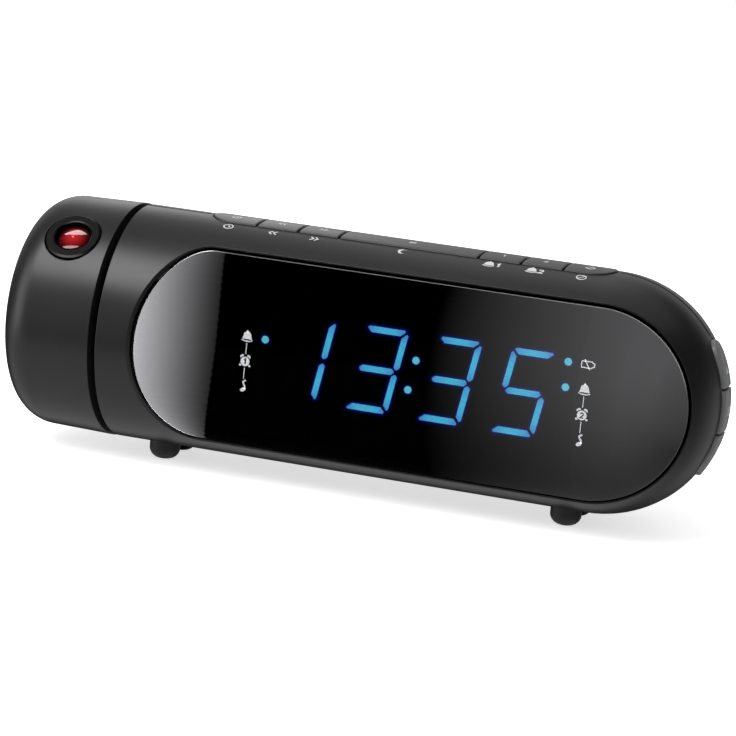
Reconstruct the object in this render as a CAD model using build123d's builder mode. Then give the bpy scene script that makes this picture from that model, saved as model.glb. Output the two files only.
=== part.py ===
from build123d import *
import os
from math import cos, radians, sin, sqrt, tan

os.makedirs("parts", exist_ok=True)

# ---------------------------------------------------------------- driving dimensions, millimetres
# Capsule body: a tube with a round right end. Its axis is level and runs left to right.
body_radius = 32.0
wall = 2.4
cap_x = 131.4  # from the seam to the centre of the round right end
foot_drop = 3.4  # height of the body above the table

# Window, flush with the capsule
window_edge = 6.1  # height of the body left above and below the window
window_left_x = 27.0
window_left_reach = 17.5  # the left end is a half ellipse this deep
window_right_x = 131.9  # the right end is a half circle about this point
window_gap = 0.5
window_sink = 0.15
window_thickness = 2.0
gasket_thickness = 0.35
ledge_width = 3.0
ledge_thickness = 2.0
ledge_start = 9.5  # the ledge begins this far in front of the mid plane
lip_chamfer = 0.8

# Buttons
top_slot_start = 19.0
top_slot_end = 131.4
top_half_width = 7.0
top_divisions = [33.4, 45.1, 56.6, 95.1, 106.6, 118.0]
side_half_width = 4.2
side_half_length = 18.3
side_division = 5.95
top_raise = 0.35  # how far the top keys stand proud of the body
side_raise = 1.0
button_gap = 0.3  # between a strip of keys and its slot
button_split = 0.55  # between one key and the next
button_skin = 1.5
button_travel = 0.8
flange_reach = 0.9
flange_thickness = 1.2
edge_round = 0.4
stem_radius = 1.5
stem_clearance = 0.2
stem_rest_depth = 0.4  # how far a resting stem reaches into its switch

# Switches and boards
switch_size = 6.0
switch_height = 4.0
board_thickness = 1.2
switch_board_depth = 12.5  # from the top of the body down to the board's face
switch_board_gap = 1.8  # from the main board to this board's front edge
switch_board_margin = 3.0
switch_arm_x = [32.7, 63.0, 118.3]
switch_arm_width = 4.0
switch_arm_height = 2.9
switch_arm_front = 5.0  # how far the arms reach in front of the mid plane
switch_screw_margin = 2.4  # from this board's edge to its screws
side_board_depth = 13.2  # from the right end of the body to the board's face
side_board_half_length = 17.0
side_board_half_width = 5.8
side_switch_pitch = 11.3
side_arm_depth = 2.0
side_arm_z = (14.5, 16.5)
side_arm_front = 3.0

# Display
display_depth = 7.4  # from the front of the body back to the face of the display
display_thickness = 14.0
display_centre_z = 1.4
display_half_height = 14.0
display_left = 34.5
display_right = 135.0
digit_count = 4
digit_pitch = 19.73
first_digit_x = 56.4
digit_half_width = 5.1
digit_half_height = 10.9
digit_slant = 10.0  # degrees
segment_width = 1.9
segment_gap = 0.35
segment_depth = 1.2
colon_x = 85.5
colon_spacing = 8.0
colon_radius = 1.15
guide_depth = 0.8
guide_width = 5.8
left_guide_x = 39.9
right_guide_x = 131.2
guide_half_height = 12.5
indicator_offset = 5.0
indicator_radius = 1.1
indicator_pitch = 6.5
indicator_top_z = 11.3
left_indicator_rows = [1, 2, 3]
right_indicator_rows = [0, 1, 2, 3]
main_board_left = 28.0
main_board_right = 136.0
main_board_margin = 0.4  # from the window's ledge to the board's edge
main_board_thickness = 1.6
board_corner = 4.0
standoff_radius = 2.4
standoff_x = [36.0, 86.0, 128.0]
standoff_margin = 10.0
screw_radius = 1.0
screw_length = 2.2  # beyond the board
screw_head_radius = 1.9
screw_head_height = 1.2
chip_size = (12.0, 12.0, 2.0)
chip_place = (66.0, 0.0)
crystal_size = (4.0, 10.0, 3.0)
crystal_place = (80.0, 0.0)
capacitor_radius = 3.0
capacitor_height = 6.0
capacitor_places = [(96.0, 8.0), (104.0, 8.0)]
buzzer_radius = 5.0
buzzer_height = 5.0
buzzer_place = (118.0, -8.0)
ribbon_left = 66.0
ribbon_right = 78.0
ribbon_thickness = 0.3
ribbon_drop = 6.0
ribbon_lap = 2.0

# Case screws: places on the mid plane
left_screw_x = 12.0
left_screw_margin = 12.0
right_screw_x = 142.0
right_screw_margin = 18.0
post_radius = 4.0
case_screw_radius = 1.4
case_head_radius = 2.6
case_head_height = 2.0
case_screw_seat = 8.0  # behind the mid plane
case_screw_reach = 9.0  # in front of the mid plane
boss_reach = 12.0
rib_thickness = 1.6
fit_clearance = 0.1
groove_width = 0.45
groove_depth = 0.8

# Speaker behind the rear shell
speaker_x = 45.0
speaker_radius = 18.0
speaker_front_depth = 9.2  # from the back of the body to the speaker's face
speaker_ring_wall = 1.6
speaker_lip = 2.0
speaker_depth = 8.8
speaker_sheet_thickness = 0.8
cone_edge = 15.2
cone_paper = 0.4
coil_radius = 4.2
magnet_radius = 9.0
magnet_height = 5.5
grille_radius = 14.5
grille_pitch = 4.0
grille_slot = 2.0
grille_rows = 7

# Backup battery bay, low on the rear shell
bay_right_gap = 6.0  # from the bay to the right screws
bay_slack = 8.5  # what the bay is longer than a cell
bay_half_width = 11.5
bay_tilt = 45.0  # degrees below level
tray_wall = 1.2
tray_depth = 18.6  # from the body's surface to the tray's floor
cell_radius = 5.2
cell_length = 43.5
cell_nub = 1.0
cell_offset = 5.6
cell_depth = 11.7  # from the body's surface to the cells' axes
contact_side = 9.0
contact_thickness = 0.4
contact_spring_radius = 3.4
contact_spring_taper = 12.0  # degrees
door_gap = 0.25
door_thickness = 2.2
door_grip_width = 1.0
door_grip_depth = 0.5
door_grip_pitch = 2.2
door_grip_length = 12.0
door_grip_count = 4

# Low-voltage inlet on the rear
socket_x = 72.0
socket_z = -5.0
socket_width = 9.0
socket_height = 11.0
socket_length = 12.4
socket_nose_length = 3.0
socket_mouth_depth = 1.6  # from the back of the body to the socket's mouth
socket_nose_radius = 3.9
plug_recess_radius = 5.2
plug_recess_wall = 1.8
socket_bore_radius = 2.8
socket_pin_radius = 1.05
socket_bore_depth = 11.0

# Feet
foot_x = [13.0, 126.0]
foot_y = 6.5
foot_radius = 4.2
foot_seat_depth = 1.8  # how far a foot's root enters the body
foot_round = 3.0

# Projector drum and its bearing
drum_gap = 2.1
drum_length = 27.3
drum_swell = 0.1  # the drum's rim is this much fuller than the body
drum_taper = 1.3  # degrees
drum_end_round = 10.0
drum_wall = 2.2
plate_inset = 0.3
plate_groove_x = 2.0
plate_flange = 1.5
plate_flange_depth = 1.0  # how far the plate's flange enters the shell walls
neck_radius = 27.0
neck_length = 2.0
spindle_radius = 7.0
spindle_bore = 4.5
running_clearance = 0.06
washer_radius = 12.0
washer_thickness = 0.3
hub_clearance = 0.3
hub_thickness = 1.6
hub_sleeve_radius = 9.5
hub_sleeve_length = 4.4
clip_thickness = 0.8
clip_radius = 9.8
clip_groove_depth = 0.8
spindle_tip = 0.7
drum_post_radius = 3.0
drum_post_circle = 22.0
drum_post_count = 3

# Projector optics: depths are below the drum's surface, along the lens axis
lens_x = -13.0
lens_angle = 48.8  # degrees above the front horizontal at rest
ring_radius = 7.5
ring_bore = 5.0
ring_flange_radius = 8.3
ring_flange_depth = 3.8
ring_flange_thickness = 1.2
ring_chamfer = 0.45
ring_lead = 0.3
ring_slot = 0.3
lens_edge = 4.9
lens_seat = 0.2  # above the underside of the ring's flange
lens_rim = 3.0
lens_dome = 1.5
barrel_radius = 6.8
barrel_bore = 5.6
barrel_step_bore = 5.0
barrel_step_height = 4.9
barrel_flange = 1.0
collar_wall = 1.4
collar_depth = 7.6
lcd_side = 7.8
lcd_thickness = 1.4
condenser_lift = 1.9  # above the barrel's foot
condenser_rim = 0.8
condenser_dome = 1.6
lamp_board_side = 13.0
lamp_board_clearance = 0.5
lamp_board_thickness = 1.2
lamp_radius = 1.5
lamp_height = 1.2

# ---------------------------------------------------------------- derived places
inner_radius = body_radius - wall
window_half_height = body_radius - window_edge
display_face = body_radius - display_depth
main_board_face = display_face - display_thickness
standoff_z = body_radius - standoff_margin
case_screw_left = (left_screw_x, body_radius - left_screw_margin)
case_screw_right = (right_screw_x, body_radius - right_screw_margin)
switch_board_top = body_radius - switch_board_depth
side_board_face = cap_x + body_radius - side_board_depth
speaker_face = body_radius - speaker_front_depth
bay_right = right_screw_x - bay_right_gap
bay_left = bay_right - cell_length - bay_slack
tray_floor = body_radius - tray_depth
cell_height = body_radius - cell_depth
socket_mouth = body_radius - socket_mouth_depth
socket_shoulder = socket_mouth - socket_nose_length
socket_back = socket_shoulder - socket_length
foot_root = body_radius - foot_seat_depth
drum_edge_radius = body_radius + drum_swell
ring_top = drum_edge_radius
ring_flange_top = drum_edge_radius - ring_flange_depth
ring_flange_bottom = ring_flange_top - ring_flange_thickness
lens_bottom = ring_flange_bottom + lens_seat
lens_shoulder = lens_bottom + lens_rim
collar_bottom = drum_edge_radius - collar_depth
barrel_bottom = clip_radius + lamp_board_clearance + lamp_board_thickness
barrel_step = barrel_bottom + barrel_step_height
condenser_bottom = barrel_bottom + condenser_lift
top_key_radius = body_radius + top_raise
side_key_radius = body_radius + side_raise
flange_outer = inner_radius - button_gap
flange_inner = flange_outer - flange_thickness
window_outer = body_radius - window_sink
window_inner = window_outer - window_thickness
ledge_outer = window_inner - gasket_thickness
ledge_inner = ledge_outer - ledge_thickness
main_board_half_height = sqrt(ledge_inner**2 - main_board_face**2) - main_board_margin
stem_end = switch_board_top + switch_height - stem_rest_depth
switch_recess = stem_rest_depth + button_travel + 2 * stem_clearance
main_board_back = main_board_face - main_board_thickness
switch_board_half_width = main_board_back - switch_board_gap
switch_screw_y = switch_board_half_width - switch_screw_margin
drum_right = -drum_gap
drum_left = drum_right - drum_length
clock_left = drum_left
clock_right = cap_x + side_key_radius
seam_x = -(clock_left + clock_right) / 2
axis_height = body_radius + foot_drop
plate_left = plate_inset
plate_right = plate_groove_x + plate_flange
neck_face = plate_left - neck_length
washer_face = neck_face - washer_thickness
hub_right = washer_face - hub_clearance
hub_left = hub_right - hub_thickness
sleeve_end = hub_left - hub_sleeve_length
clip_right = sleeve_end - hub_clearance
clip_left = clip_right - clip_thickness
spindle_end = clip_left - spindle_tip
hub_rim = drum_edge_radius - drum_wall - fit_clearance

# The front plane looks from the front: x to the right from the seam, y up from the axis, z to the front.
centre = (seam_x, 0, axis_height)
front = Plane(origin=centre, x_dir=(1, 0, 0), z_dir=(0, -1, 0))
top = Plane(origin=centre, x_dir=(1, 0, 0), z_dir=(0, 0, 1))
side = Plane(origin=centre, x_dir=(0, 1, 0), z_dir=(1, 0, 0))
bay_normal = (0, cos(radians(bay_tilt)), -sin(radians(bay_tilt)))
bay = Plane(origin=centre, x_dir=(1, 0, 0), z_dir=bay_normal)
lens_normal = (0, -cos(radians(lens_angle)), sin(radians(lens_angle)))
lens_centre = (seam_x + lens_x, 0, axis_height)
lens_plane = Plane(origin=lens_centre, x_dir=(1, 0, 0), z_dir=lens_normal)
lens_across = (0, -sin(radians(lens_angle)), -cos(radians(lens_angle)))
lens_section = Plane(origin=lens_centre, x_dir=(1, 0, 0), z_dir=lens_across)
clock_axis = Axis(centre, (1, 0, 0))
lens_axis = Axis(lens_centre, lens_normal)

# ---------------------------------------------------------------- shared forms


def capsule(radius):
    """Solid capsule about the clock's axis, flat at the seam and round at the right."""
    with BuildPart() as solid:
        with BuildSketch(front):
            with BuildLine():
                Polyline((cap_x + radius, 0), (0, 0), (0, radius), (cap_x, radius))
                CenterArc((cap_x, 0), radius, 0, 90)
            make_face()
        revolve(axis=clock_axis)
    return solid.part


def layer(inner, outer):
    """The skin between two capsules."""
    with BuildPart() as skin:
        add(capsule(outer))
        add(capsule(inner), mode=Mode.SUBTRACT)
    return skin.part


def window_prism(margin, start=0.0):
    """The window's outline, grown by a margin, drawn out to the front."""
    height = window_half_height + margin
    with BuildPart() as prism:
        with BuildSketch(front.offset(start)):
            with BuildLine():
                Line((window_left_x, height), (window_right_x, height))
                CenterArc((window_right_x, 0), height, -90, 180)
                Line((window_right_x, -height), (window_left_x, -height))
                EllipticalCenterArc((window_left_x, 0), window_left_reach + margin, height, 90, arc_size=180)
            make_face()
        extrude(amount=side_key_radius - start)
    return prism.part


def window_layer(margin, inner, outer, start=0.0):
    """The part of a capsule skin that lies inside the window's outline."""
    with BuildPart() as piece:
        add(window_prism(margin, start))
        add(layer(inner, outer), mode=Mode.INTERSECT)
    return piece.part


def top_layer(margin, inner, outer):
    """The part of a capsule skin inside the outline of the top button strip."""
    with BuildPart() as piece:
        with BuildSketch(top):
            with Locations(((top_slot_start + top_slot_end) / 2, 0)):
                SlotOverall(top_slot_end - top_slot_start + 2 * margin, 2 * (top_half_width + margin))
        extrude(amount=side_key_radius + 1)
        add(layer(inner, outer), mode=Mode.INTERSECT)
    return piece.part


def side_layer(margin, inner, outer):
    """The part of a capsule skin inside the outline of the side button strip."""
    with BuildPart() as piece:
        with BuildSketch(side.offset(cap_x)):
            SlotOverall(2 * (side_half_length + margin), 2 * (side_half_width + margin), rotation=90)
        extrude(amount=side_key_radius + 1)
        add(layer(inner, outer), mode=Mode.INTERSECT)
    return piece.part


def box_between(plane, low, high):
    """A box given by two corners in the coordinates of a plane."""
    with BuildPart() as box:
        with BuildSketch(plane.offset(low[2])):
            with Locations(((low[0] + high[0]) / 2, (low[1] + high[1]) / 2)):
                Rectangle(high[0] - low[0], high[1] - low[1])
        extrude(amount=high[2] - low[2])
    return box.part


def box_within_body(plane, low, high):
    """A rib or arm, trimmed so that it ends inside the body's wall."""
    with BuildPart() as arm:
        add(box_between(plane, low, high))
        add(capsule(body_radius - wall / 2), mode=Mode.INTERSECT)
    return arm.part


def tube_within_body(plane, places, radius, bore, start, end):
    """Round posts or rings, trimmed so that they end inside the body's wall."""
    with BuildPart() as tubes:
        with BuildSketch(plane.offset(start)):
            with Locations(*places):
                Circle(radius)
                Circle(bore, mode=Mode.SUBTRACT)
        extrude(amount=end - start)
        add(capsule(body_radius - wall / 2), mode=Mode.INTERSECT)
    return tubes.part


def mirrored(points):
    """Each place above the axis, and its mirror below."""
    return points + [(x, -z) for x, z in points]


def save(builder, name):
    """Label a finished piece and write it."""
    builder.part.label = name
    export_step(builder.part, f"parts/{name}.step")


case_screw_places = mirrored([case_screw_left, case_screw_right])
standoff_places = mirrored([(x, standoff_z) for x in standoff_x])
side_board_back = side_board_face - board_thickness
switch_board_bottom = switch_board_top - board_thickness

# ---------------------------------------------------------------- shells


def foot_pockets(row_y):
    """Shallow round seats for one row of feet."""
    with BuildPart() as pockets:
        with BuildSketch(top.offset(-foot_root)):
            with Locations(*[(x, row_y) for x in foot_x]):
                Circle(foot_radius + fit_clearance)
        extrude(amount=-foot_drop)
    return pockets.part


def parting_groove():
    """A fine groove round the body, where the rear half meets the front half."""
    with BuildPart() as groove:
        add(layer(body_radius - groove_depth, side_key_radius))
        add(box_between(front, (-wall, -side_key_radius, -groove_width),
                        (clock_right + wall, side_key_radius, 0)), mode=Mode.INTERSECT)
    return groove.part


def hollow_capsule():
    """The hollow capsule with what both halves share: the button slots and the bearing's groove."""
    with BuildPart() as hollow:
        add(layer(inner_radius, body_radius))
        add(top_layer(0, inner_radius - 1, side_key_radius + 1), mode=Mode.SUBTRACT)
        add(side_layer(0, inner_radius - 1, side_key_radius + 1), mode=Mode.SUBTRACT)
        with BuildSketch(side.offset(plate_groove_x)):
            Circle(inner_radius + plate_flange_depth)
        extrude(amount=plate_flange, mode=Mode.SUBTRACT)
    return hollow.part


def on_window_lip(edge):
    """True for the edges where the window's pocket meets the body's surface."""
    middle = front.to_local_coords(edge.position_at(0.5))
    past_cap = max(middle.X - cap_x, 0)
    on_surface = abs(sqrt(past_cap**2 + middle.Y**2 + middle.Z**2) - body_radius) < fit_clearance
    if middle.X > window_right_x:
        from_outline = sqrt((middle.X - window_right_x)**2 + middle.Y**2) - window_half_height
    elif middle.X < window_left_x:
        across = (middle.X - window_left_x) * window_half_height / window_left_reach
        from_outline = sqrt(across**2 + middle.Y**2) - window_half_height
    else:
        from_outline = abs(middle.Y) - window_half_height
    return on_surface and middle.Z > 0 and abs(from_outline) < fit_clearance


whole_shell = hollow_capsule()

with BuildPart() as front_shell:
    add(whole_shell)
    split(bisect_by=front, keep=Keep.TOP)
    # A ledge carries the window, and the window's pocket and opening are cut through it.
    add(window_layer(ledge_width, ledge_inner, inner_radius + fit_clearance, ledge_start))
    add(window_layer(0, ledge_outer, side_key_radius), mode=Mode.SUBTRACT)
    add(window_layer(-ledge_width, ledge_inner - 1, side_key_radius), mode=Mode.SUBTRACT)
    chamfer(front_shell.edges().filter_by(on_window_lip), lip_chamfer)
    # Screw bosses: the right pair stands behind the window, so ribs carry it.
    bore = case_screw_radius + fit_clearance
    add(tube_within_body(front, mirrored([case_screw_left]), post_radius, bore, 0, body_radius))
    for z in (case_screw_right[1], -case_screw_right[1]):
        low = min(z, z / abs(z) * body_radius)
        high = max(z, z / abs(z) * body_radius)
        rib_left = case_screw_right[0] - rib_thickness / 2
        add(box_within_body(front, (rib_left, low, 0), (rib_left + rib_thickness, high, boss_reach)))
    with BuildSketch(front):
        with Locations(*mirrored([case_screw_right])):
            Circle(post_radius)
    extrude(amount=boss_reach)
    with BuildSketch(front):
        with Locations(*mirrored([case_screw_right])):
            Circle(bore)
    extrude(amount=case_screw_reach + 1, mode=Mode.SUBTRACT)
    # Standoffs on the ledge hold the main board.
    add(tube_within_body(front, standoff_places, standoff_radius, screw_radius + fit_clearance,
                         main_board_face, body_radius))
    add(window_layer(-window_gap, ledge_outer, side_key_radius), mode=Mode.SUBTRACT)
    add(foot_pockets(-foot_y), mode=Mode.SUBTRACT)
save(front_shell, "front_shell")

with BuildPart() as rear_shell:
    add(whole_shell)
    split(bisect_by=front, keep=Keep.BOTTOM)
    add(tube_within_body(front, case_screw_places, post_radius, case_screw_radius + fit_clearance,
                         0, -body_radius))
    with BuildSketch(front.offset(-case_screw_seat)):
        with Locations(*case_screw_places):
            Circle(case_head_radius + fit_clearance)
    extrude(amount=-body_radius, mode=Mode.SUBTRACT)
    # A ring seats the speaker, behind a round grille of slots.
    add(tube_within_body(front, [(speaker_x, 0)], speaker_radius + speaker_ring_wall,
                         speaker_radius - speaker_lip, -speaker_face, -body_radius))
    with BuildSketch(front.offset(-speaker_face)):
        for row in range(grille_rows):
            row_z = (row - (grille_rows - 1) / 2) * grille_pitch
            with Locations((speaker_x, row_z)):
                SlotOverall(2 * sqrt(grille_radius**2 - row_z**2), grille_slot)
    extrude(amount=-body_radius, mode=Mode.SUBTRACT)
    # Arms carry the two switch boards.
    for x in switch_arm_x:
        arm_low = (x - switch_arm_width / 2, switch_board_bottom - switch_arm_height, -body_radius)
        arm_high = (x + switch_arm_width / 2, switch_board_bottom, switch_arm_front)
        add(box_within_body(front, arm_low, arm_high))
    with BuildSketch(top.offset(switch_board_bottom)):
        with Locations(*[(x, switch_screw_y) for x in switch_arm_x]):
            Circle(screw_radius + fit_clearance)
    extrude(amount=-switch_arm_height, mode=Mode.SUBTRACT)
    for low, high in (side_arm_z, (-side_arm_z[1], -side_arm_z[0])):
        arm_low = (side_board_back - side_arm_depth, low, -body_radius)
        arm_high = (side_board_back, high, side_arm_front)
        add(box_within_body(front, arm_low, arm_high))
    # Openings for the battery bay and the inlet.
    add(box_between(bay, (bay_left, -bay_half_width, tray_floor),
                    (bay_right, bay_half_width, side_key_radius)), mode=Mode.SUBTRACT)
    add(tube_within_body(front, [(socket_x, socket_z)], plug_recess_radius + plug_recess_wall,
                         plug_recess_radius, -socket_shoulder, -body_radius))
    with BuildSketch(front.offset(-socket_shoulder)):
        with Locations((socket_x, socket_z)):
            Circle(plug_recess_radius)
    extrude(amount=-body_radius, mode=Mode.SUBTRACT)
    add(foot_pockets(foot_y), mode=Mode.SUBTRACT)
    add(parting_groove(), mode=Mode.SUBTRACT)
save(rear_shell, "rear_shell")

with BuildPart() as feet:
    with BuildSketch(top.offset(-foot_root)):
        with Locations(*[(x, y) for x in foot_x for y in (-foot_y, foot_y)]):
            Circle(foot_radius)
    extrude(amount=foot_root - axis_height)
    fillet(feet.edges().group_by(Axis.Z)[0], foot_round)
save(feet, "feet")

with BuildPart() as case_screws:
    with BuildSketch(front.offset(-case_screw_seat)):
        with Locations(*case_screw_places):
            Circle(case_screw_radius)
    extrude(amount=case_screw_seat + case_screw_reach)
    with BuildSketch(front.offset(-case_screw_seat)):
        with Locations(*case_screw_places):
            Circle(case_head_radius)
    extrude(amount=-case_head_height)
save(case_screws, "case_screws")

# ---------------------------------------------------------------- window

with BuildPart() as display_window:
    add(window_layer(-window_gap, window_inner, window_outer))
save(display_window, "display_window")

with BuildPart() as window_gasket:
    add(window_layer(-window_gap, ledge_outer, window_inner))
    add(window_prism(-ledge_width), mode=Mode.SUBTRACT)
save(window_gasket, "window_gasket")

# ---------------------------------------------------------------- display


def slanted(x, z):
    """Lean a point of a digit to the right by the digits' slant."""
    return (x + z * tan(radians(digit_slant)), z)


def bar(x, z, half_length, upright):
    """The six corners of one pointed segment, about the digit's centre."""
    tip = half_length - segment_gap
    half = segment_width / 2
    upper = [(-tip, 0), (half - tip, half), (tip - half, half)]
    corners = upper + [(-along, -across) for along, across in upper]
    if upright:
        corners = [(across, along) for along, across in corners]
    return [slanted(x + dx, z + dz) for dx, dz in corners]


level_bars = [bar(0, z, digit_half_width, False) for z in (-digit_half_height, 0, digit_half_height)]
upright_bars = [bar(x, z, digit_half_height / 2, True)
                for x in (-digit_half_width, digit_half_width)
                for z in (-digit_half_height / 2, digit_half_height / 2)]
colon_dots = [slanted(0, -colon_spacing / 2), slanted(0, colon_spacing / 2)]
left_dots = [(left_guide_x + indicator_offset, indicator_top_z - row * indicator_pitch)
             for row in left_indicator_rows]
right_dots = [(right_guide_x - indicator_offset, indicator_top_z - row * indicator_pitch)
              for row in right_indicator_rows]

with BuildPart() as led_segments:
    with BuildSketch(front.offset(display_face - segment_depth)):
        for digit in range(digit_count):
            with Locations((first_digit_x + digit * digit_pitch, display_centre_z)):
                for corners in level_bars + upright_bars:
                    Polygon(*corners, align=None)
        with Locations(*[(colon_x + x, display_centre_z + z) for x, z in colon_dots]):
            Circle(colon_radius)
        with Locations(*(left_dots + right_dots)):
            Circle(indicator_radius)
    extrude(amount=segment_depth)
save(led_segments, "led_segments")

with BuildPart() as icon_light_guides:
    with BuildSketch(front.offset(display_face - guide_depth)):
        with Locations((left_guide_x, display_centre_z), (right_guide_x, display_centre_z)):
            Rectangle(guide_width, 2 * guide_half_height)
    extrude(amount=guide_depth)
save(icon_light_guides, "icon_light_guides")

with BuildPart() as led_housing:
    display_bottom = display_centre_z - display_half_height
    display_top = display_centre_z + display_half_height
    add(box_between(front, (display_left, display_bottom, main_board_face),
                    (display_right, display_top, display_face)))
    add(led_segments.part, mode=Mode.SUBTRACT)
    add(icon_light_guides.part, mode=Mode.SUBTRACT)
save(led_housing, "led_housing")

with BuildPart() as main_board:
    with BuildSketch(front.offset(main_board_back)):
        with Locations(((main_board_left + main_board_right) / 2, 0)):
            RectangleRounded(main_board_right - main_board_left, 2 * main_board_half_height, board_corner)
        with Locations(*standoff_places):
            Circle(screw_radius + fit_clearance, mode=Mode.SUBTRACT)
    extrude(amount=main_board_thickness)
save(main_board, "main_board")

with BuildPart() as board_components:
    for place, size in ((chip_place, chip_size), (crystal_place, crystal_size)):
        with BuildSketch(front.offset(main_board_back)):
            with Locations(place):
                Rectangle(size[0], size[1])
        extrude(amount=-size[2])
    with BuildSketch(front.offset(main_board_back)):
        with Locations(*capacitor_places):
            Circle(capacitor_radius)
    extrude(amount=-capacitor_height)
    with BuildSketch(front.offset(main_board_back)):
        with Locations(buzzer_place):
            Circle(buzzer_radius)
    extrude(amount=-buzzer_height)
save(board_components, "board_components")

with BuildPart() as board_screws:
    with BuildSketch(front.offset(main_board_back)):
        with Locations(*standoff_places):
            Circle(screw_radius)
    extrude(amount=main_board_thickness + screw_length)
    with BuildSketch(front.offset(main_board_back)):
        with Locations(*standoff_places):
            Circle(screw_head_radius)
    extrude(amount=-screw_head_height)
    with BuildSketch(top.offset(switch_board_top)):
        with Locations(*[(x, switch_screw_y) for x in switch_arm_x]):
            Circle(screw_radius)
    extrude(amount=-board_thickness - screw_length)
    with BuildSketch(top.offset(switch_board_top)):
        with Locations(*[(x, switch_screw_y) for x in switch_arm_x]):
            Circle(screw_head_radius)
    extrude(amount=screw_head_height)
save(board_screws, "board_screws")

# ---------------------------------------------------------------- top buttons and their switches
top_edges = [top_slot_start, *top_divisions, top_slot_end]
top_names = ["time", "hour", "minute", "snooze", "alarm_1", "alarm_2", "alarm_off"]
top_centres = [(left + right) / 2 for left, right in zip(top_edges, top_edges[1:])]


def key_strip(strip, cap_radius):
    """A whole strip of keys: raised caps on a wider flange that stays under the shell."""
    with BuildPart() as blank:
        add(strip(-button_gap, flange_inner, cap_radius))
        add(strip(flange_reach, flange_inner, flange_outer))
    return blank.part


top_keys = key_strip(top_layer, top_key_radius)
top_hollow = top_layer(-button_gap - button_skin, flange_inner - 1, top_key_radius - button_skin)


def top_key(left, right):
    """One top button: a hollow cap with rounded edges and a stem that presses its switch."""
    reach = 2 * top_half_width
    slot_left = left + button_split / 2
    slot_right = right - button_split / 2
    with BuildPart() as key:
        add(top_keys)
        add(box_between(top, (slot_left, -reach, 0), (slot_right, reach, 2 * body_radius)),
            mode=Mode.INTERSECT)
        fillet(key.faces().sort_by(Axis.Z)[-1].edges(), edge_round)
        add(hollow_between(top_hollow, top, slot_left + button_skin, slot_right - button_skin, reach),
            mode=Mode.SUBTRACT)
        with BuildSketch(top.offset(stem_end)):
            with Locations(((left + right) / 2, 0)):
                Circle(stem_radius)
        extrude(amount=top_key_radius - button_skin / 2 - stem_end)
    return key


def hollow_between(hollow, plane, low, high, reach):
    """The stretch of a key strip's hollow between two places."""
    with BuildPart() as piece:
        add(hollow)
        add(box_between(plane, (low, -reach, 0), (high, reach, cap_x + 2 * body_radius)), mode=Mode.INTERSECT)
    return piece.part


for name, left, right in zip(top_names, top_edges, top_edges[1:]):
    save(top_key(left, right), f"button_{name}")

with BuildPart() as switch_board:
    board_left = top_slot_start + switch_board_margin
    board_right = top_slot_end - switch_board_margin
    with BuildSketch(top.offset(switch_board_bottom)):
        with Locations(((board_left + board_right) / 2, 0)):
            Rectangle(board_right - board_left, 2 * switch_board_half_width)
        with Locations(*[(x, switch_screw_y) for x in switch_arm_x]):
            Circle(screw_radius + fit_clearance, mode=Mode.SUBTRACT)
    extrude(amount=board_thickness)
save(switch_board, "switch_board")

with BuildPart() as top_switches:
    with BuildSketch(top.offset(switch_board_top)):
        with Locations(*[(x, 0) for x in top_centres]):
            Rectangle(switch_size, switch_size)
    extrude(amount=switch_height)
    with BuildSketch(top.offset(switch_board_top + switch_height)):
        with Locations(*[(x, 0) for x in top_centres]):
            Circle(stem_radius + stem_clearance)
    extrude(amount=-switch_recess, mode=Mode.SUBTRACT)
save(top_switches, "top_switches")

with BuildPart() as switch_ribbon:
    ribbon_front = main_board_back - fit_clearance
    ribbon_back = switch_board_half_width - ribbon_lap
    add(box_between(front, (ribbon_left, switch_board_bottom - ribbon_thickness, ribbon_back),
                    (ribbon_right, switch_board_bottom, ribbon_front)))
    add(box_between(front, (ribbon_left, switch_board_bottom - ribbon_drop, ribbon_front - ribbon_thickness),
                    (ribbon_right, switch_board_bottom, ribbon_front)))
save(switch_ribbon, "switch_ribbon")

# ---------------------------------------------------------------- side buttons and their switches
side_centres = [-side_switch_pitch, 0, side_switch_pitch]
side_keys = key_strip(side_layer, side_key_radius)
side_hollow = side_layer(-button_gap - button_skin, flange_inner - 1, side_key_radius - button_skin)
side_stem_end = side_board_face + switch_height - stem_rest_depth
side_tilted = Plane(origin=centre, x_dir=(0, 0, 1), z_dir=(1, 0, 0))  # x up, z to the right


def side_key(low, high, stem_z):
    """One side button: like a top button, turned to face right."""
    reach = 2 * side_half_width
    slot_low = low + button_split / 2
    slot_high = high - button_split / 2
    with BuildPart() as key:
        add(side_keys)
        add(box_between(side_tilted, (slot_low, -reach, 0), (slot_high, reach, cap_x + 2 * body_radius)),
            mode=Mode.INTERSECT)
        fillet(key.faces().sort_by(Axis.X)[-1].edges(), edge_round)
        add(hollow_between(side_hollow, side_tilted, slot_low + button_skin, slot_high - button_skin, reach),
            mode=Mode.SUBTRACT)
        with BuildSketch(side_tilted.offset(side_stem_end)):
            with Locations((stem_z, 0)):
                Circle(stem_radius)
        stem_root = cap_x + sqrt((side_key_radius - button_skin / 2)**2 - (abs(stem_z) + stem_radius)**2)
        extrude(amount=stem_root - side_stem_end)
    return key


button_side_upper = side_key(side_division, side_half_length, side_switch_pitch)
save(button_side_upper, "button_side_upper")
save(side_key(-side_division, side_division, 0), "button_side_middle")

with BuildPart() as button_side_lower:
    add(button_side_upper.part)
    mirror(about=Plane(origin=centre, z_dir=(0, 0, 1)), mode=Mode.REPLACE)
save(button_side_lower, "button_side_lower")

with BuildPart() as side_switch_board:
    with BuildSketch(side.offset(side_board_back)):
        Rectangle(2 * side_board_half_width, 2 * side_board_half_length)
    extrude(amount=board_thickness)
save(side_switch_board, "side_switch_board")

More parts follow.
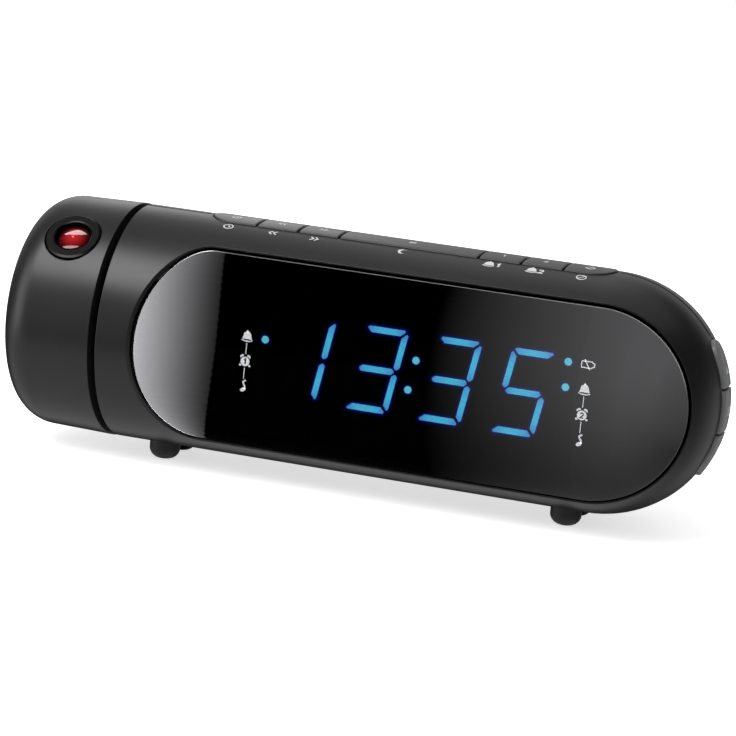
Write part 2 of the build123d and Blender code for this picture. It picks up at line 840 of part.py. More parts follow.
with BuildPart() as side_switches:
    with BuildSketch(side.offset(side_board_face)):
        with Locations(*[(0, z) for z in side_centres]):
            Rectangle(switch_size, switch_size)
    extrude(amount=switch_height)
    with BuildSketch(side.offset(side_board_face + switch_height)):
        with Locations(*[(0, z) for z in side_centres]):
            Circle(stem_radius + stem_clearance)
    extrude(amount=-switch_recess, mode=Mode.SUBTRACT)
save(side_switches, "side_switches")

# ---------------------------------------------------------------- speaker
speaker_section = Plane(origin=(seam_x + speaker_x, 0, axis_height), x_dir=(1, 0, 0), z_dir=(0, 0, 1))
speaker_axis = Axis((seam_x + speaker_x, 0, axis_height), (0, 1, 0))
speaker_back = speaker_face - speaker_depth  # the magnet's face

with BuildPart() as speaker_basket:
    with BuildSketch(speaker_section):
        Polygon((magnet_radius - speaker_sheet_thickness, speaker_back), (magnet_radius, speaker_back),
                (speaker_radius - speaker_lip, speaker_face - speaker_sheet_thickness),
                (speaker_radius, speaker_face - speaker_sheet_thickness), (speaker_radius, speaker_face),
                (speaker_radius - speaker_lip - speaker_sheet_thickness / 2, speaker_face), align=None)
    revolve(axis=speaker_axis)
save(speaker_basket, "speaker_basket")

with BuildPart() as speaker_magnet:
    with BuildSketch(front.offset(-speaker_back)):
        with Locations((speaker_x, 0)):
            Circle(magnet_radius)
    extrude(amount=magnet_height)
save(speaker_magnet, "speaker_magnet")

with BuildPart() as speaker_cone:
    coil_top = speaker_back + coil_radius / 2
    with BuildSketch(speaker_section):
        Polygon((0, coil_top + 2 * cone_paper), (coil_radius, coil_top + 2 * cone_paper),
                (cone_edge, speaker_face), (cone_edge, speaker_face - cone_paper), (coil_radius, coil_top),
                (coil_radius, speaker_back), (coil_radius - cone_paper, speaker_back),
                (coil_radius - cone_paper, coil_top), (0, coil_top), align=None)
    revolve(axis=speaker_axis)
save(speaker_cone, "speaker_cone")

# ---------------------------------------------------------------- backup battery bay
bay_middle = (bay_left + bay_right) / 2
cell_left = bay_middle - cell_length / 2
cell_right = bay_middle + cell_length / 2
cell_places = [bay.from_local_coords(Vector(0, offset, cell_height)) - Vector(*centre)
               for offset in (-cell_offset, cell_offset)]
cell_points = [(place.Y, place.Z) for place in cell_places]

with BuildPart() as battery_tray:
    add(box_between(bay, (bay_left - tray_wall, -bay_half_width - tray_wall, tray_floor),
                    (bay_right + tray_wall, bay_half_width + tray_wall, body_radius)))
    add(capsule(inner_radius - fit_clearance), mode=Mode.INTERSECT)
    add(box_between(bay, (bay_left, -bay_half_width, tray_floor + tray_wall),
                    (bay_right, bay_half_width, body_radius)), mode=Mode.SUBTRACT)
save(battery_tray, "battery_tray")

with BuildPart() as battery_cells:
    with BuildSketch(side.offset(cell_left)):
        with Locations(*cell_points):
            Circle(cell_radius)
    extrude(amount=cell_length)
    with BuildSketch(side.offset(cell_right)):
        with Locations(cell_points[0]):
            Circle(cell_radius / 2)
    extrude(amount=cell_nub)
    with BuildSketch(side.offset(cell_left)):
        with Locations(cell_points[1]):
            Circle(cell_radius / 2)
    extrude(amount=-cell_nub)
save(battery_cells, "battery_cells")

with BuildPart() as battery_contacts:
    for wall_x, direction in ((bay_left, 1), (bay_right, -1)):
        spring_space = (bay_right - bay_left - cell_length) / 2 - contact_thickness - cell_nub - fit_clearance
        with BuildSketch(side.offset(wall_x)):
            with Locations(*cell_points):
                Rectangle(contact_side, contact_side, rotation=bay_tilt)
        extrude(amount=direction * contact_thickness)
        with BuildSketch(side.offset(wall_x + direction * contact_thickness)):
            with Locations(*cell_points):
                Circle(contact_spring_radius)
        extrude(amount=direction * spring_space, taper=contact_spring_taper)
save(battery_contacts, "battery_contacts")

with BuildPart() as battery_door:
    add(layer(body_radius - door_thickness, body_radius))
    add(box_between(bay, (bay_left + door_gap, door_gap - bay_half_width, tray_floor),
                    (bay_right - door_gap, bay_half_width - door_gap, side_key_radius)), mode=Mode.INTERSECT)
    # Grip lines near one end, each a shallow groove across the door.
    for line in range(door_grip_count):
        line_x = bay_right - door_grip_length / 2 - line * door_grip_pitch
        with BuildSketch(bay.offset(body_radius - door_grip_depth)):
            with Locations((line_x, 0)):
                Rectangle(door_grip_width, door_grip_length)
        extrude(amount=1, mode=Mode.SUBTRACT)
save(battery_door, "battery_door")

# ---------------------------------------------------------------- low-voltage inlet

with BuildPart() as power_socket:
    half_width = socket_width / 2
    half_height = socket_height / 2
    add(box_between(front, (socket_x - half_width, socket_z - half_height, -socket_shoulder),
                    (socket_x + half_width, socket_z + half_height, -socket_back)))
    with BuildSketch(front.offset(-socket_shoulder)):
        with Locations((socket_x, socket_z)):
            Circle(socket_nose_radius)
    extrude(amount=socket_shoulder - socket_mouth)
    with BuildSketch(front.offset(-socket_mouth)):
        with Locations((socket_x, socket_z)):
            Circle(socket_bore_radius)
            Circle(socket_pin_radius, mode=Mode.SUBTRACT)
    extrude(amount=socket_bore_depth, mode=Mode.SUBTRACT)
save(power_socket, "power_socket")

# ---------------------------------------------------------------- drum bearing

with BuildPart() as drum_bearing:
    with BuildSketch(side.offset(plate_left)):
        Circle(inner_radius - fit_clearance)
    extrude(amount=plate_right - plate_left)
    with BuildSketch(side.offset(plate_groove_x + fit_clearance / 2)):
        Circle(inner_radius + plate_flange_depth - fit_clearance)
    extrude(amount=plate_flange - fit_clearance)
    with BuildSketch(side.offset(neck_face)):
        Circle(neck_radius)
    extrude(amount=neck_length)
    with BuildSketch(side.offset(spindle_end)):
        Circle(spindle_radius)
    extrude(amount=plate_left - spindle_end)
    with BuildSketch(side.offset(clip_left - fit_clearance)):
        Circle(spindle_radius)
        Circle(spindle_radius - clip_groove_depth, mode=Mode.SUBTRACT)
    extrude(amount=clip_thickness + 2 * fit_clearance, mode=Mode.SUBTRACT)
    with BuildSketch(side.offset(spindle_end)):
        Circle(spindle_bore)
    extrude(amount=plate_right - spindle_end, mode=Mode.SUBTRACT)
save(drum_bearing, "drum_bearing")

with BuildPart() as friction_washer:
    with BuildSketch(side.offset(washer_face)):
        Circle(washer_radius)
        Circle(spindle_radius + fit_clearance, mode=Mode.SUBTRACT)
    extrude(amount=washer_thickness)
save(friction_washer, "friction_washer")

with BuildPart() as drum_clip:
    with BuildSketch(side.offset(clip_left)):
        Circle(clip_radius)
        Circle(spindle_radius - clip_groove_depth + fit_clearance, mode=Mode.SUBTRACT)
        with Locations((0, -clip_radius)):
            Rectangle(spindle_radius, 2 * clip_radius, mode=Mode.SUBTRACT)
    extrude(amount=clip_thickness)
save(drum_clip, "drum_clip")

# ---------------------------------------------------------------- drum
first_post_angle = 180 - lens_angle + 180 / drum_post_count
drum_end_radius = drum_edge_radius - drum_length * tan(radians(drum_taper))


def drum_solid(inset):
    """The drum's full form, tapered and rounded at its end, shrunk by an inset."""
    with BuildPart() as solid:
        with BuildSketch(front):
            Polygon((drum_right, 0), (drum_right, drum_edge_radius - inset),
                    (drum_left + inset, drum_end_radius - inset), (drum_left + inset, 0), align=None)
        revolve(axis=clock_axis)
        fillet(solid.edges().sort_by(Axis.X)[0], drum_end_round - inset)
    return solid.part


def lens_collar():
    """A tube inside the drum that holds the flanges of the lens ring and the barrel."""
    with BuildPart() as collar:
        with BuildSketch(lens_plane.offset(collar_bottom)):
            Circle(ring_flange_radius + fit_clearance + collar_wall)
            Circle(ring_flange_radius + fit_clearance, mode=Mode.SUBTRACT)
        extrude(amount=drum_edge_radius - collar_bottom)
        add(drum_solid(drum_wall / 2), mode=Mode.INTERSECT)
        with BuildSketch(side.offset(hub_left - fit_clearance)):
            Circle(drum_edge_radius)
        extrude(amount=drum_gap + hub_thickness, mode=Mode.SUBTRACT)
    return collar.part


with BuildPart() as drum_shell:
    add(drum_solid(0))
    add(drum_solid(drum_wall), mode=Mode.SUBTRACT)
    with BuildSketch(side.offset(hub_left)):
        with PolarLocations(drum_post_circle, drum_post_count, start_angle=first_post_angle):
            Circle(drum_post_radius)
    extrude(amount=drum_left + drum_wall / 2 - hub_left)
    with BuildSketch(side.offset(hub_left)):
        with PolarLocations(drum_post_circle, drum_post_count, start_angle=first_post_angle):
            Circle(screw_radius + fit_clearance)
    extrude(amount=-2 * drum_post_radius, mode=Mode.SUBTRACT)
    add(lens_collar())
    with BuildSketch(lens_plane.offset(collar_bottom)):
        Circle(ring_radius + ring_slot)
    extrude(amount=drum_edge_radius + drum_wall - collar_bottom, mode=Mode.SUBTRACT)
save(drum_shell, "drum_shell")

with BuildPart() as drum_hub:
    with BuildSketch(side.offset(hub_left)):
        Circle(hub_rim)
        with PolarLocations(drum_post_circle, drum_post_count, start_angle=first_post_angle):
            Circle(screw_radius + fit_clearance, mode=Mode.SUBTRACT)
    extrude(amount=hub_thickness)
    with BuildSketch(side.offset(sleeve_end)):
        Circle(hub_sleeve_radius)
    extrude(amount=hub_sleeve_length)
    with BuildSketch(side.offset(sleeve_end)):
        Circle(spindle_radius + running_clearance)
    extrude(amount=hub_sleeve_length + hub_thickness, mode=Mode.SUBTRACT)
    # Seats for the screw heads, so that they clear the bearing's neck.
    with BuildSketch(side.offset(hub_right)):
        with PolarLocations(drum_post_circle, drum_post_count, start_angle=first_post_angle):
            Circle(screw_head_radius + fit_clearance)
    extrude(amount=-screw_head_height / 2, mode=Mode.SUBTRACT)
save(drum_hub, "drum_hub")

with BuildPart() as drum_screws:
    head_seat = hub_right - screw_head_height / 2
    with BuildSketch(side.offset(head_seat)):
        with PolarLocations(drum_post_circle, drum_post_count, start_angle=first_post_angle):
            Circle(screw_radius)
    extrude(amount=-hub_thickness - screw_length)
    with BuildSketch(side.offset(head_seat)):
        with PolarLocations(drum_post_circle, drum_post_count, start_angle=first_post_angle):
            Circle(screw_head_radius)
    extrude(amount=screw_head_height / 2)
save(drum_screws, "drum_screws")

# ---------------------------------------------------------------- projector optics about the lens axis

with BuildPart() as lens_ring:
    with BuildSketch(lens_section):
        Polygon((ring_bore, ring_flange_bottom), (ring_flange_radius, ring_flange_bottom),
                (ring_flange_radius, ring_flange_top), (ring_radius, ring_flange_top),
                (ring_radius, ring_top - ring_chamfer), (ring_radius - ring_chamfer, ring_top),
                (ring_bore + ring_lead, ring_top), (ring_bore, ring_top - ring_lead), align=None)
    revolve(axis=lens_axis)
save(lens_ring, "lens_ring")

with BuildPart() as projector_lens:
    lens_curve = (lens_edge**2 + lens_dome**2) / (2 * lens_dome)
    with BuildSketch(lens_section):
        with BuildLine():
            Polyline((0, lens_shoulder + lens_dome), (0, lens_bottom), (lens_edge, lens_bottom),
                     (lens_edge, lens_shoulder))
            RadiusArc((lens_edge, lens_shoulder), (0, lens_shoulder + lens_dome), -lens_curve)
        make_face()
    revolve(axis=lens_axis)
save(projector_lens, "projector_lens")

with BuildPart() as projector_barrel:
    flange_bottom = ring_flange_bottom - barrel_flange
    with BuildSketch(lens_section):
        Polygon((barrel_step_bore, barrel_bottom), (barrel_radius, barrel_bottom),
                (barrel_radius, flange_bottom), (ring_flange_radius, flange_bottom),
                (ring_flange_radius, ring_flange_bottom), (barrel_bore, ring_flange_bottom),
                (barrel_bore, barrel_step), (barrel_step_bore, barrel_step), align=None)
    revolve(axis=lens_axis)
save(projector_barrel, "projector_barrel")

with BuildPart() as projector_lcd:
    with BuildSketch(lens_plane.offset(barrel_step)):
        Rectangle(lcd_side, lcd_side)
    extrude(amount=lcd_thickness)
save(projector_lcd, "projector_lcd")

with BuildPart() as condenser_lens:
    condenser_edge = barrel_step_bore - fit_clearance
    condenser_curve = (condenser_edge**2 + condenser_dome**2) / (2 * condenser_dome)
    condenser_top = condenser_bottom + condenser_rim + condenser_dome
    with BuildSketch(lens_section):
        with BuildLine():
            Polyline((0, condenser_top), (0, condenser_bottom), (condenser_edge, condenser_bottom),
                     (condenser_edge, condenser_bottom + condenser_rim))
            RadiusArc((condenser_edge, condenser_bottom + condenser_rim), (0, condenser_top),
                      -condenser_curve)
        make_face()
    revolve(axis=lens_axis)
save(condenser_lens, "condenser_lens")

with BuildPart() as projector_led_board:
    with BuildSketch(lens_plane.offset(barrel_bottom - lamp_board_thickness)):
        Rectangle(lamp_board_side, lamp_board_side)
    extrude(amount=lamp_board_thickness)
    with BuildSketch(lens_plane.offset(barrel_bottom)):
        Circle(lamp_radius)
    extrude(amount=lamp_height)
save(projector_led_board, "projector_led_board")
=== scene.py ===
"""Dresses a projection alarm clock: its materials, display, window, printed marks and studio."""
import math

import bmesh
import bpy
from bpy.props import FloatProperty, FloatVectorProperty, IntProperty, PointerProperty
from mathutils import Matrix, Vector


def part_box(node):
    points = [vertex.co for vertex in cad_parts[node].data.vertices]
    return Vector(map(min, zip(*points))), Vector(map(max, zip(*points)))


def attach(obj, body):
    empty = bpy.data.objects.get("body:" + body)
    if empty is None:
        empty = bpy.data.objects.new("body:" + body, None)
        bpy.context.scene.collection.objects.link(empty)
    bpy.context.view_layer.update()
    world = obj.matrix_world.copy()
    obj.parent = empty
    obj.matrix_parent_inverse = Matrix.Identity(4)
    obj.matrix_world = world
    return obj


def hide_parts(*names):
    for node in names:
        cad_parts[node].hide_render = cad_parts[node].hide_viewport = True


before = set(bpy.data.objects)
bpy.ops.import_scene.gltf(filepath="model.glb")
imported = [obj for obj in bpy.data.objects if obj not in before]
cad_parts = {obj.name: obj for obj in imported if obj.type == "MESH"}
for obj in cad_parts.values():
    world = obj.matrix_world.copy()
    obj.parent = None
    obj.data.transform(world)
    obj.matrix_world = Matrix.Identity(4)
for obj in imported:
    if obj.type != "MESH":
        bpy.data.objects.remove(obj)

bl_info = {
    "name": "Projection alarm clock",
    "version": (1, 0, 0),
    "blender": (4, 5, 0),
    "location": "3D View > Sidebar > Clock",
    "description": "Builds the looks of a projection alarm clock round its solid model",
    "category": "Object",
}

MM = 0.001
SHELL_LOW, SHELL_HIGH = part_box("front_shell")
SEAM_X = SHELL_LOW.x  # where the body meets the drum
AXIS_Z = (SHELL_LOW.z + SHELL_HIGH.z) / 2
BODY_RADIUS = (SHELL_HIGH.z - SHELL_LOW.z) / 2
DISPLAY_FACE = -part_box("led_segments")[0].y
CAP_X = SEAM_X + 131.4 * MM  # centre of the round end
STRAIGHT = CAP_X - SEAM_X
LENS_ANGLE = math.radians(48.8)  # of the projector's axis above level


# ---------------------------------------------------------------- sizes and colours
def paint(code):
    """Turn an sRGB hex colour into linear red, green, blue and alpha."""
    parts = [int(code[i:i + 2], 16) / 255 for i in (0, 2, 4)]
    return [c / 12.92 if c <= 0.04045 else ((c + 0.055) / 1.055) ** 2.4 for c in parts] + [1.0]


def length(name, description, millimetres):
    """A length in millimetres, kept in metres."""
    return FloatProperty(name=name, description=description, default=millimetres * MM, unit="LENGTH",
                         subtype="DISTANCE", precision=5)


def angle(name, description, degrees):
    return FloatProperty(name=name, description=description, default=math.radians(degrees), subtype="ANGLE")


def colour(name, description, code):
    return FloatVectorProperty(name=name, description=description, default=paint(code), size=4,
                               subtype="COLOR", min=0, max=1)


def number(name, description, value):
    return FloatProperty(name=name, description=description, default=value, min=0)


class ClockFinish(bpy.types.PropertyGroup):
    """Colours and surface of the clock's materials."""
    housing: colour("Housing", "Moulded charcoal of the body and the drum", "1F1F1F")
    # The top keys' charcoal is lighter than the housing's: partly their own colour, partly painted light standing
    # for light from behind.
    keys: colour("Keys", "Moulded charcoal of the top keys", "3A3A3B")
    # The side keys' grey is partly their own colour, partly painted light standing for the bright reflection
    # along the right end.
    side_keys_with_painted_light: colour("Side keys", "Moulded grey of the side keys", "757677")
    window: colour("Window", "Tint of the smoked window", "191A1C")
    light: colour("Lit segments", "Light in the middle of the lit segments", "57D6F6")
    light_end: colour("Segment ends", "Light at the ends of the lit segments", "5AA6F2")
    dots: colour("Dots", "Light of the colon and the indicators", "70E4E8")
    halo: colour("Halo", "Deep blue spill round the lit segments", "2430D0")
    icons: colour("Icons", "Light of the display's pictograms", "F8F4EC")
    marks: colour("Printed marks", "Ink of the pictograms on the body", "E4E5E6")
    lens: colour("Lens", "Red of the projector's lens", "C8101C")
    ring: colour("Lens ring", "Dark ring round the lens", "070708")
    rubber: colour("Feet", "Soft rubber of the feet", "101011")
    board: colour("Circuit board", "Solder mask", "0E4A2A")
    housing_roughness: number("Housing roughness", "Roughness of the satin housing", 0.36)
    grain: length("Moulding grain", "Size of the spark-eroded texture's grain", 0.45)
    edge_round: length("Edge rounding", "Rounding that moulded edges show", 0.35)


class ClockWindow(bpy.types.PropertyGroup):
    """The smoked window, flush with the capsule."""
    half_height: length("Half height", "Half the height of the window's opening", 25.9)
    left_x: length("Left centre", "Centre of the left half ellipse, from the seam", 27.0)
    left_reach: length("Left reach", "Depth of the left half ellipse", 16.9)
    right_x: length("Right centre", "Centre of the right half circle, from the seam", 131.9)
    gap: length("Gap", "Gap between the window and its pocket", 0.5)
    sink: length("Sink", "How far the window lies below the body's surface", 0.15)
    thickness: length("Thickness", "Thickness of the window", 2.0)
    bevel: length("Bevel", "Polished bevel along the window's edge", 0.28)
    rings: IntProperty(name="Rings", description="Rings of faces from edge to middle", default=20, min=4)


class ClockDisplay(bpy.types.PropertyGroup):
    """The digits and indicators."""
    first_x: length("First digit", "Centre of the first digit, from the seam", 56.15)
    pitch: length("Pitch", "Distance from digit to digit", 19.73)
    centre_z: length("Centre height", "Height of the digits' centre above the axis", 1.47)
    half_width: length("Half width", "From a digit's centre to its upright segments", 5.1)
    half_height: length("Half height", "From a digit's centre to its top segment", 10.3)
    slant: angle("Slant", "Lean of the digits", 10.0)
    bar_width: length("Segment width", "Width of a segment", 1.6)
    bar_gap: length("Segment gap", "Gap at each end of a segment", 0.45)
    cap_left: length("Cap reach", "How much further left the top and bottom segments reach", 0.5)
    cap_right: length("Cap reach, right", "How much further right the top and bottom segments reach", 0.3)
    depth: length("Segment depth", "Depth of the diffusers", 1.2)
    colon_x: length("Colon", "Centre of the colon, from the seam", 85.5)
    colon_spacing: length("Colon spacing", "Distance between the colon's dots", 7.8)
    colon_radius: length("Colon dot", "Radius of the colon's dots", 0.96)
    dot_radius: length("Indicator", "Radius of the indicator dots", 0.98)
    dot_offset: length("Indicator offset", "From a column of icons to its indicators", 5.0)
    row_pitch: length("Row pitch", "Distance from row to row of icons", 6.5)
    top_row: length("Top row", "Height of the top row of icons", 11.3)
    right_drop: length("Right drop", "How much lower the right column is than the left one", 0.3)
    left_icons: length("Left icons", "Place of the left column of icons, from the seam", 39.9)
    right_icons: length("Right icons", "Place of the right column of icons, from the seam", 131.2)
    halo: length("Halo", "Reach of the glow round a lit segment", 1.1)
    strength: number("Strength", "Radiance of the lit segments", 60.0)


class ClockStudio(bpy.types.PropertyGroup):
    """Camera, lamps, floor and surroundings."""
    yaw: angle("Yaw", "Camera's turn to the right of the front", 16.10)
    pitch: angle("Pitch", "Camera's height above level", 10.94)
    roll: angle("Roll", "Camera's lean", 5.71)
    distance: length("Distance", "Camera's distance from its target", 831.8)
    target_x: length("Target", "Camera's target, from the seam", 66.26)
    target_z: length("Target height", "Height of the camera's target", 31.97)
    lens: FloatProperty(name="Lens", description="Focal length on a 36 mm sensor", default=151.56, min=1)
    softbox: number("Softbox", "Power of the softbox above the front", 8.0)
    side: number("Side fill", "Power of the broad fill from the left", 0.7)
    left: number("Left light", "Power of the light to the left", 3.0)
    back: number("Back light", "Power of the light behind", 0.22)
    fill: number("Fill", "Power of the broad fill from above", 2.2)
    bounce: number("Bounce", "Power of the light that the floor sends back up", 0.1)


GROUPS = {"clock_finish": ClockFinish, "clock_window": ClockWindow, "clock_display": ClockDisplay,
          "clock_studio": ClockStudio}


# ---------------------------------------------------------------- places
def place(x, y, z):
    """A point from metres to the right of the seam, behind the mid plane and above the axis."""
    return Vector((SEAM_X + x, y, AXIS_Z + z))


def on_capsule(x, z, radius):
    """The point of the capsule's front at a place to the right of the seam and above the axis."""
    past_cap = max(x - STRAIGHT, 0)
    return place(x, -math.sqrt(max(radius**2 - z**2 - past_cap**2, 0)), z)


def display_plane(x, z, lift):
    """A point on the face of the display, lifted towards the window."""
    return place(x, -DISPLAY_FACE - lift, z)


def circle(centre, radius, count):
    """Points round a circle that faces the front."""
    return [centre + Vector((radius * math.cos(turn), 0, radius * math.sin(turn)))
            for turn in (math.tau * i / count for i in range(count))]


# ---------------------------------------------------------------- meshes
def new_piece(name, mesh, material, body="body"):
    """Make an object of a mesh at the origin, dress it and let it ride on its body."""
    piece = bpy.data.objects.new(name, mesh)
    bpy.context.scene.collection.objects.link(piece)
    mesh.materials.clear()
    mesh.materials.append(material)
    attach(piece, body)
    return piece


def plain_mesh(name, points, faces=()):
    """A mesh of points and faces as they are."""
    mesh = bpy.data.meshes.new(name)
    mesh.from_pydata([tuple(point) for point in points], [], list(faces))
    return mesh


def joined(name, meshes, weld=0):
    """Several meshes as one, with its faces turned outwards and points within the weld's reach merged."""
    work = bmesh.new()
    for mesh in meshes:
        work.from_mesh(mesh)
        bpy.data.meshes.remove(mesh)
    if weld:
        bmesh.ops.remove_doubles(work, verts=work.verts, dist=weld)
    bmesh.ops.recalc_face_normals(work, faces=work.faces)
    whole = bpy.data.meshes.new(name)
    work.to_mesh(whole)
    work.free()
    return whole


def mesh_of(name, points, faces):
    """A mesh of points and faces, with its faces turned outwards."""
    return joined(name, [plain_mesh(name + "_draft", points, faces)], 0.001 * MM)


def bands(count, starts):
    """Faces between rings of points, each given by the number of its first point."""
    return [[low + i, low + (i + 1) % count, high + (i + 1) % count, high + i]
            for low, high in zip(starts, starts[1:]) for i in range(count)]


def closed_bands(count, starts):
    """The same, with a face over each end."""
    first = list(range(starts[0], starts[0] + count))
    last = list(range(starts[-1], starts[-1] + count))
    return bands(count, starts) + [first[::-1], last]


def tube(name, rings):
    """A closed mesh through rings of points."""
    count = len(rings[0])
    points = [point for ring in rings for point in ring]
    return mesh_of(name, points, closed_bands(count, range(0, len(points), count)))


def plates(name, outlines, surface, lift, sink):
    """Thin plates on a surface. Each outline is a loop of flat points, and surface maps a flat point and its
    lift to a place."""
    points = []
    faces = []
    for outline in outlines:
        start = len(points)
        points += [surface(u, v, height) for height in (lift, -sink) for u, v in outline]
        faces += closed_bands(len(outline), (start, start + len(outline)))
    return joined(name, [plain_mesh(name + "_draft", points, faces)])


# ---------------------------------------------------------------- repeats by Geometry Nodes
def repeat_tree():
    """A node tree that sets one pattern piece on every point, turned by the point's own angles."""
    name = "Repeat on points"
    if name in bpy.data.node_groups:
        return bpy.data.node_groups[name]
    tree = bpy.data.node_groups.new(name, "GeometryNodeTree")
    for title, way, kind in (("Points", "INPUT", "Geometry"), ("Pattern piece", "INPUT", "Object"),
                             ("Size", "INPUT", "Float"), ("Material", "INPUT", "Material"),
                             ("Geometry", "OUTPUT", "Geometry")):
        tree.interface.new_socket(title, in_out=way, socket_type="NodeSocket" + kind)
    given = node(tree, "NodeGroupInput").outputs
    pattern = node(tree, "GeometryNodeObjectInfo", {"Object": given["Pattern piece"]}).outputs["Geometry"]
    turn = node(tree, "GeometryNodeInputNamedAttribute", {"Name": "turn"}, data_type="FLOAT_VECTOR")
    copies = node(tree, "GeometryNodeInstanceOnPoints", {
        "Points": given["Points"], "Instance": pattern, "Rotation": turn, "Scale": given["Size"]})
    real = node(tree, "GeometryNodeRealizeInstances", {"Geometry": copies})
    dressed = node(tree, "GeometryNodeSetMaterial", {"Geometry": real, "Material": given["Material"]})
    node(tree, "NodeGroupOutput", {"Geometry": dressed})
    return tree


def repeated(name, places, turns, pattern, material):
    """The pattern mesh on every place, each turned by its angles, as one plain mesh."""
    points = plain_mesh(name + "_points", places)
    turn = points.attributes.new("turn", "FLOAT_VECTOR", "POINT")
    turn.data.foreach_set("vector", [value for angles in turns for value in angles])
    holder = bpy.data.objects.new(name, points)
    sample = bpy.data.objects.new(name + "_pattern", pattern)
    bpy.context.scene.collection.objects.link(holder)
    bpy.context.scene.collection.objects.link(sample)
    modifier = holder.modifiers.new("Repeat", "NODES")
    modifier.node_group = repeat_tree()
    sockets = {item.name: item.identifier for item in modifier.node_group.interface.items_tree}
    modifier[sockets["Pattern piece"]] = sample
    modifier[sockets["Size"]] = 1.0
    modifier[sockets["Material"]] = material
    graph = bpy.context.evaluated_depsgraph_get()
    mesh = bpy.data.meshes.new_from_object(holder.evaluated_get(graph))
    mesh.name = name
    bpy.data.objects.remove(holder)
    bpy.data.objects.remove(sample)
    return mesh


# ---------------------------------------------------------------- shader nodes
def node(tree, kind, inputs=None, **settings):
    """Add one node. Each input gets a plain value, a link from a socket, or one from a node's first output."""
    made = tree.nodes.new(kind)
    for name, value in settings.items():
        setattr(made, name, value)
    for name, value in (inputs or {}).items():
        if isinstance(value, bpy.types.Node):
            value = next(socket for socket in value.outputs if socket.enabled)
        if isinstance(value, bpy.types.NodeSocket):
            tree.links.new(value, made.inputs[name])
        else:
            made.inputs[name].default_value = value
    return made


def begin_material(name):
    """A material with an empty node tree."""
    material = bpy.data.materials.new(name)
    material.use_nodes = True
    material.node_tree.nodes.clear()
    return material, material.node_tree


def shade(base, factor):
    """A colour made lighter or darker."""
    return [c * factor for c in base[:3]] + [1.0]


# ---------------------------------------------------------------- materials
def moulded_plastic(name, base, roughness, grain, edge_round, index=1.52):
    """ABS moulded in a spark-eroded tool: a fine even grain that softens the gloss, and rounded edges."""
    material, tree = begin_material(name)
    where = node(tree, "ShaderNodeTexCoord").outputs["Object"]
    fine = node(tree, "ShaderNodeTexNoise", {
        "Vector": where, "Scale": 1 / grain, "Detail": 3.0, "Roughness": 0.6})
    broad = node(tree, "ShaderNodeTexNoise", {"Vector": where, "Scale": 1 / (60 * grain), "Detail": 2.0})
    gloss = node(tree, "ShaderNodeMapRange", {
        "Value": broad, "From Min": 0.3, "From Max": 0.7, "To Min": roughness - 0.02,
        "To Max": roughness + 0.02})
    rounded = node(tree, "ShaderNodeBevel", {"Radius": edge_round}, samples=6)
    bumps = node(tree, "ShaderNodeBump", {
        "Strength": 0.35, "Distance": 0.012 * MM, "Height": fine, "Normal": rounded})
    tone = node(tree, "ShaderNodeMix", {
        "Factor": broad, "A": shade(base, 0.94), "B": shade(base, 1.06)}, data_type="RGBA")
    surface = node(tree, "ShaderNodeBsdfPrincipled", {
        "Base Color": tone, "Roughness": gloss, "IOR": index, "Normal": bumps})
    node(tree, "ShaderNodeOutputMaterial", {"Surface": surface})
    return material


def polished_plastic(name, base, roughness, edge_round):
    """Plastic from a polished tool: even and glossy, with a soft edge."""
    material, tree = begin_material(name)
    where = node(tree, "ShaderNodeTexCoord").outputs["Object"]
    haze = node(tree, "ShaderNodeTexNoise", {"Vector": where, "Scale": 1 / (3 * MM), "Detail": 3.0})
    gloss = node(tree, "ShaderNodeMapRange", {
        "Value": haze, "To Min": roughness * 0.8, "To Max": roughness * 1.25})
    rounded = node(tree, "ShaderNodeBevel", {"Radius": edge_round}, samples=6)
    surface = node(tree, "ShaderNodeBsdfPrincipled", {
        "Base Color": base, "Roughness": gloss, "IOR": 1.5, "Normal": rounded})
    node(tree, "ShaderNodeOutputMaterial", {"Surface": surface})
    return material


def acrylic(name, tint, roughness):
    """Acrylic, cast or moulded and polished, clear or dyed: mirror gloss outside, and light comes through."""
    material, tree = begin_material(name)
    surface = node(tree, "ShaderNodeBsdfPrincipled", {
        "Base Color": tint, "Roughness": roughness, "IOR": 1.49, "Transmission Weight": 1.0})
    node(tree, "ShaderNodeOutputMaterial", {"Surface": surface})
    return material


def lens_with_painted_glow_and_rim_shade(name, tint, centre, axis):
    """Moulded optical plastic, dyed through and polished. Its middle glows though the lens is no lamp, a painted
    glow for the diode behind it, and its red darkens to black at the rim, a painted shade.
    """
    material, tree = begin_material(name)
    where = node(tree, "ShaderNodeTexCoord").outputs["Object"]
    from_centre = node(tree, "ShaderNodeVectorMath", {0: where, 1: centre}, operation="SUBTRACT")
    across = node(tree, "ShaderNodeVectorMath", {0: from_centre, 1: axis}, operation="CROSS_PRODUCT")
    away = node(tree, "ShaderNodeVectorMath", {0: across}, operation="LENGTH")
    rim = node(tree, "ShaderNodeMapRange", {
        "Value": away, "From Min": 0.2 * MM, "From Max": 4.7 * MM}, interpolation_type="SMOOTHSTEP")
    # Painted shade: the red darkens to near black towards the rim.
    depth = node(tree, "ShaderNodeMix", {"Factor": rim, "A": tint, "B": paint("060202")}, data_type="RGBA")
    # Painted glow: the lens itself sends out red light in its middle, fading to none at the rim.
    glow = node(tree, "ShaderNodeMix", {
        "Factor": rim, "A": paint("A8262A"), "B": paint("000000")}, data_type="RGBA")
    surface = node(tree, "ShaderNodeBsdfPrincipled", {
        "Base Color": depth, "Roughness": 0.02, "IOR": 1.49, "Coat Weight": 1.0, "Coat Roughness": 0.03,
        "Emission Color": glow, "Emission Strength": 0.9})
    node(tree, "ShaderNodeOutputMaterial", {"Surface": surface})
    return material


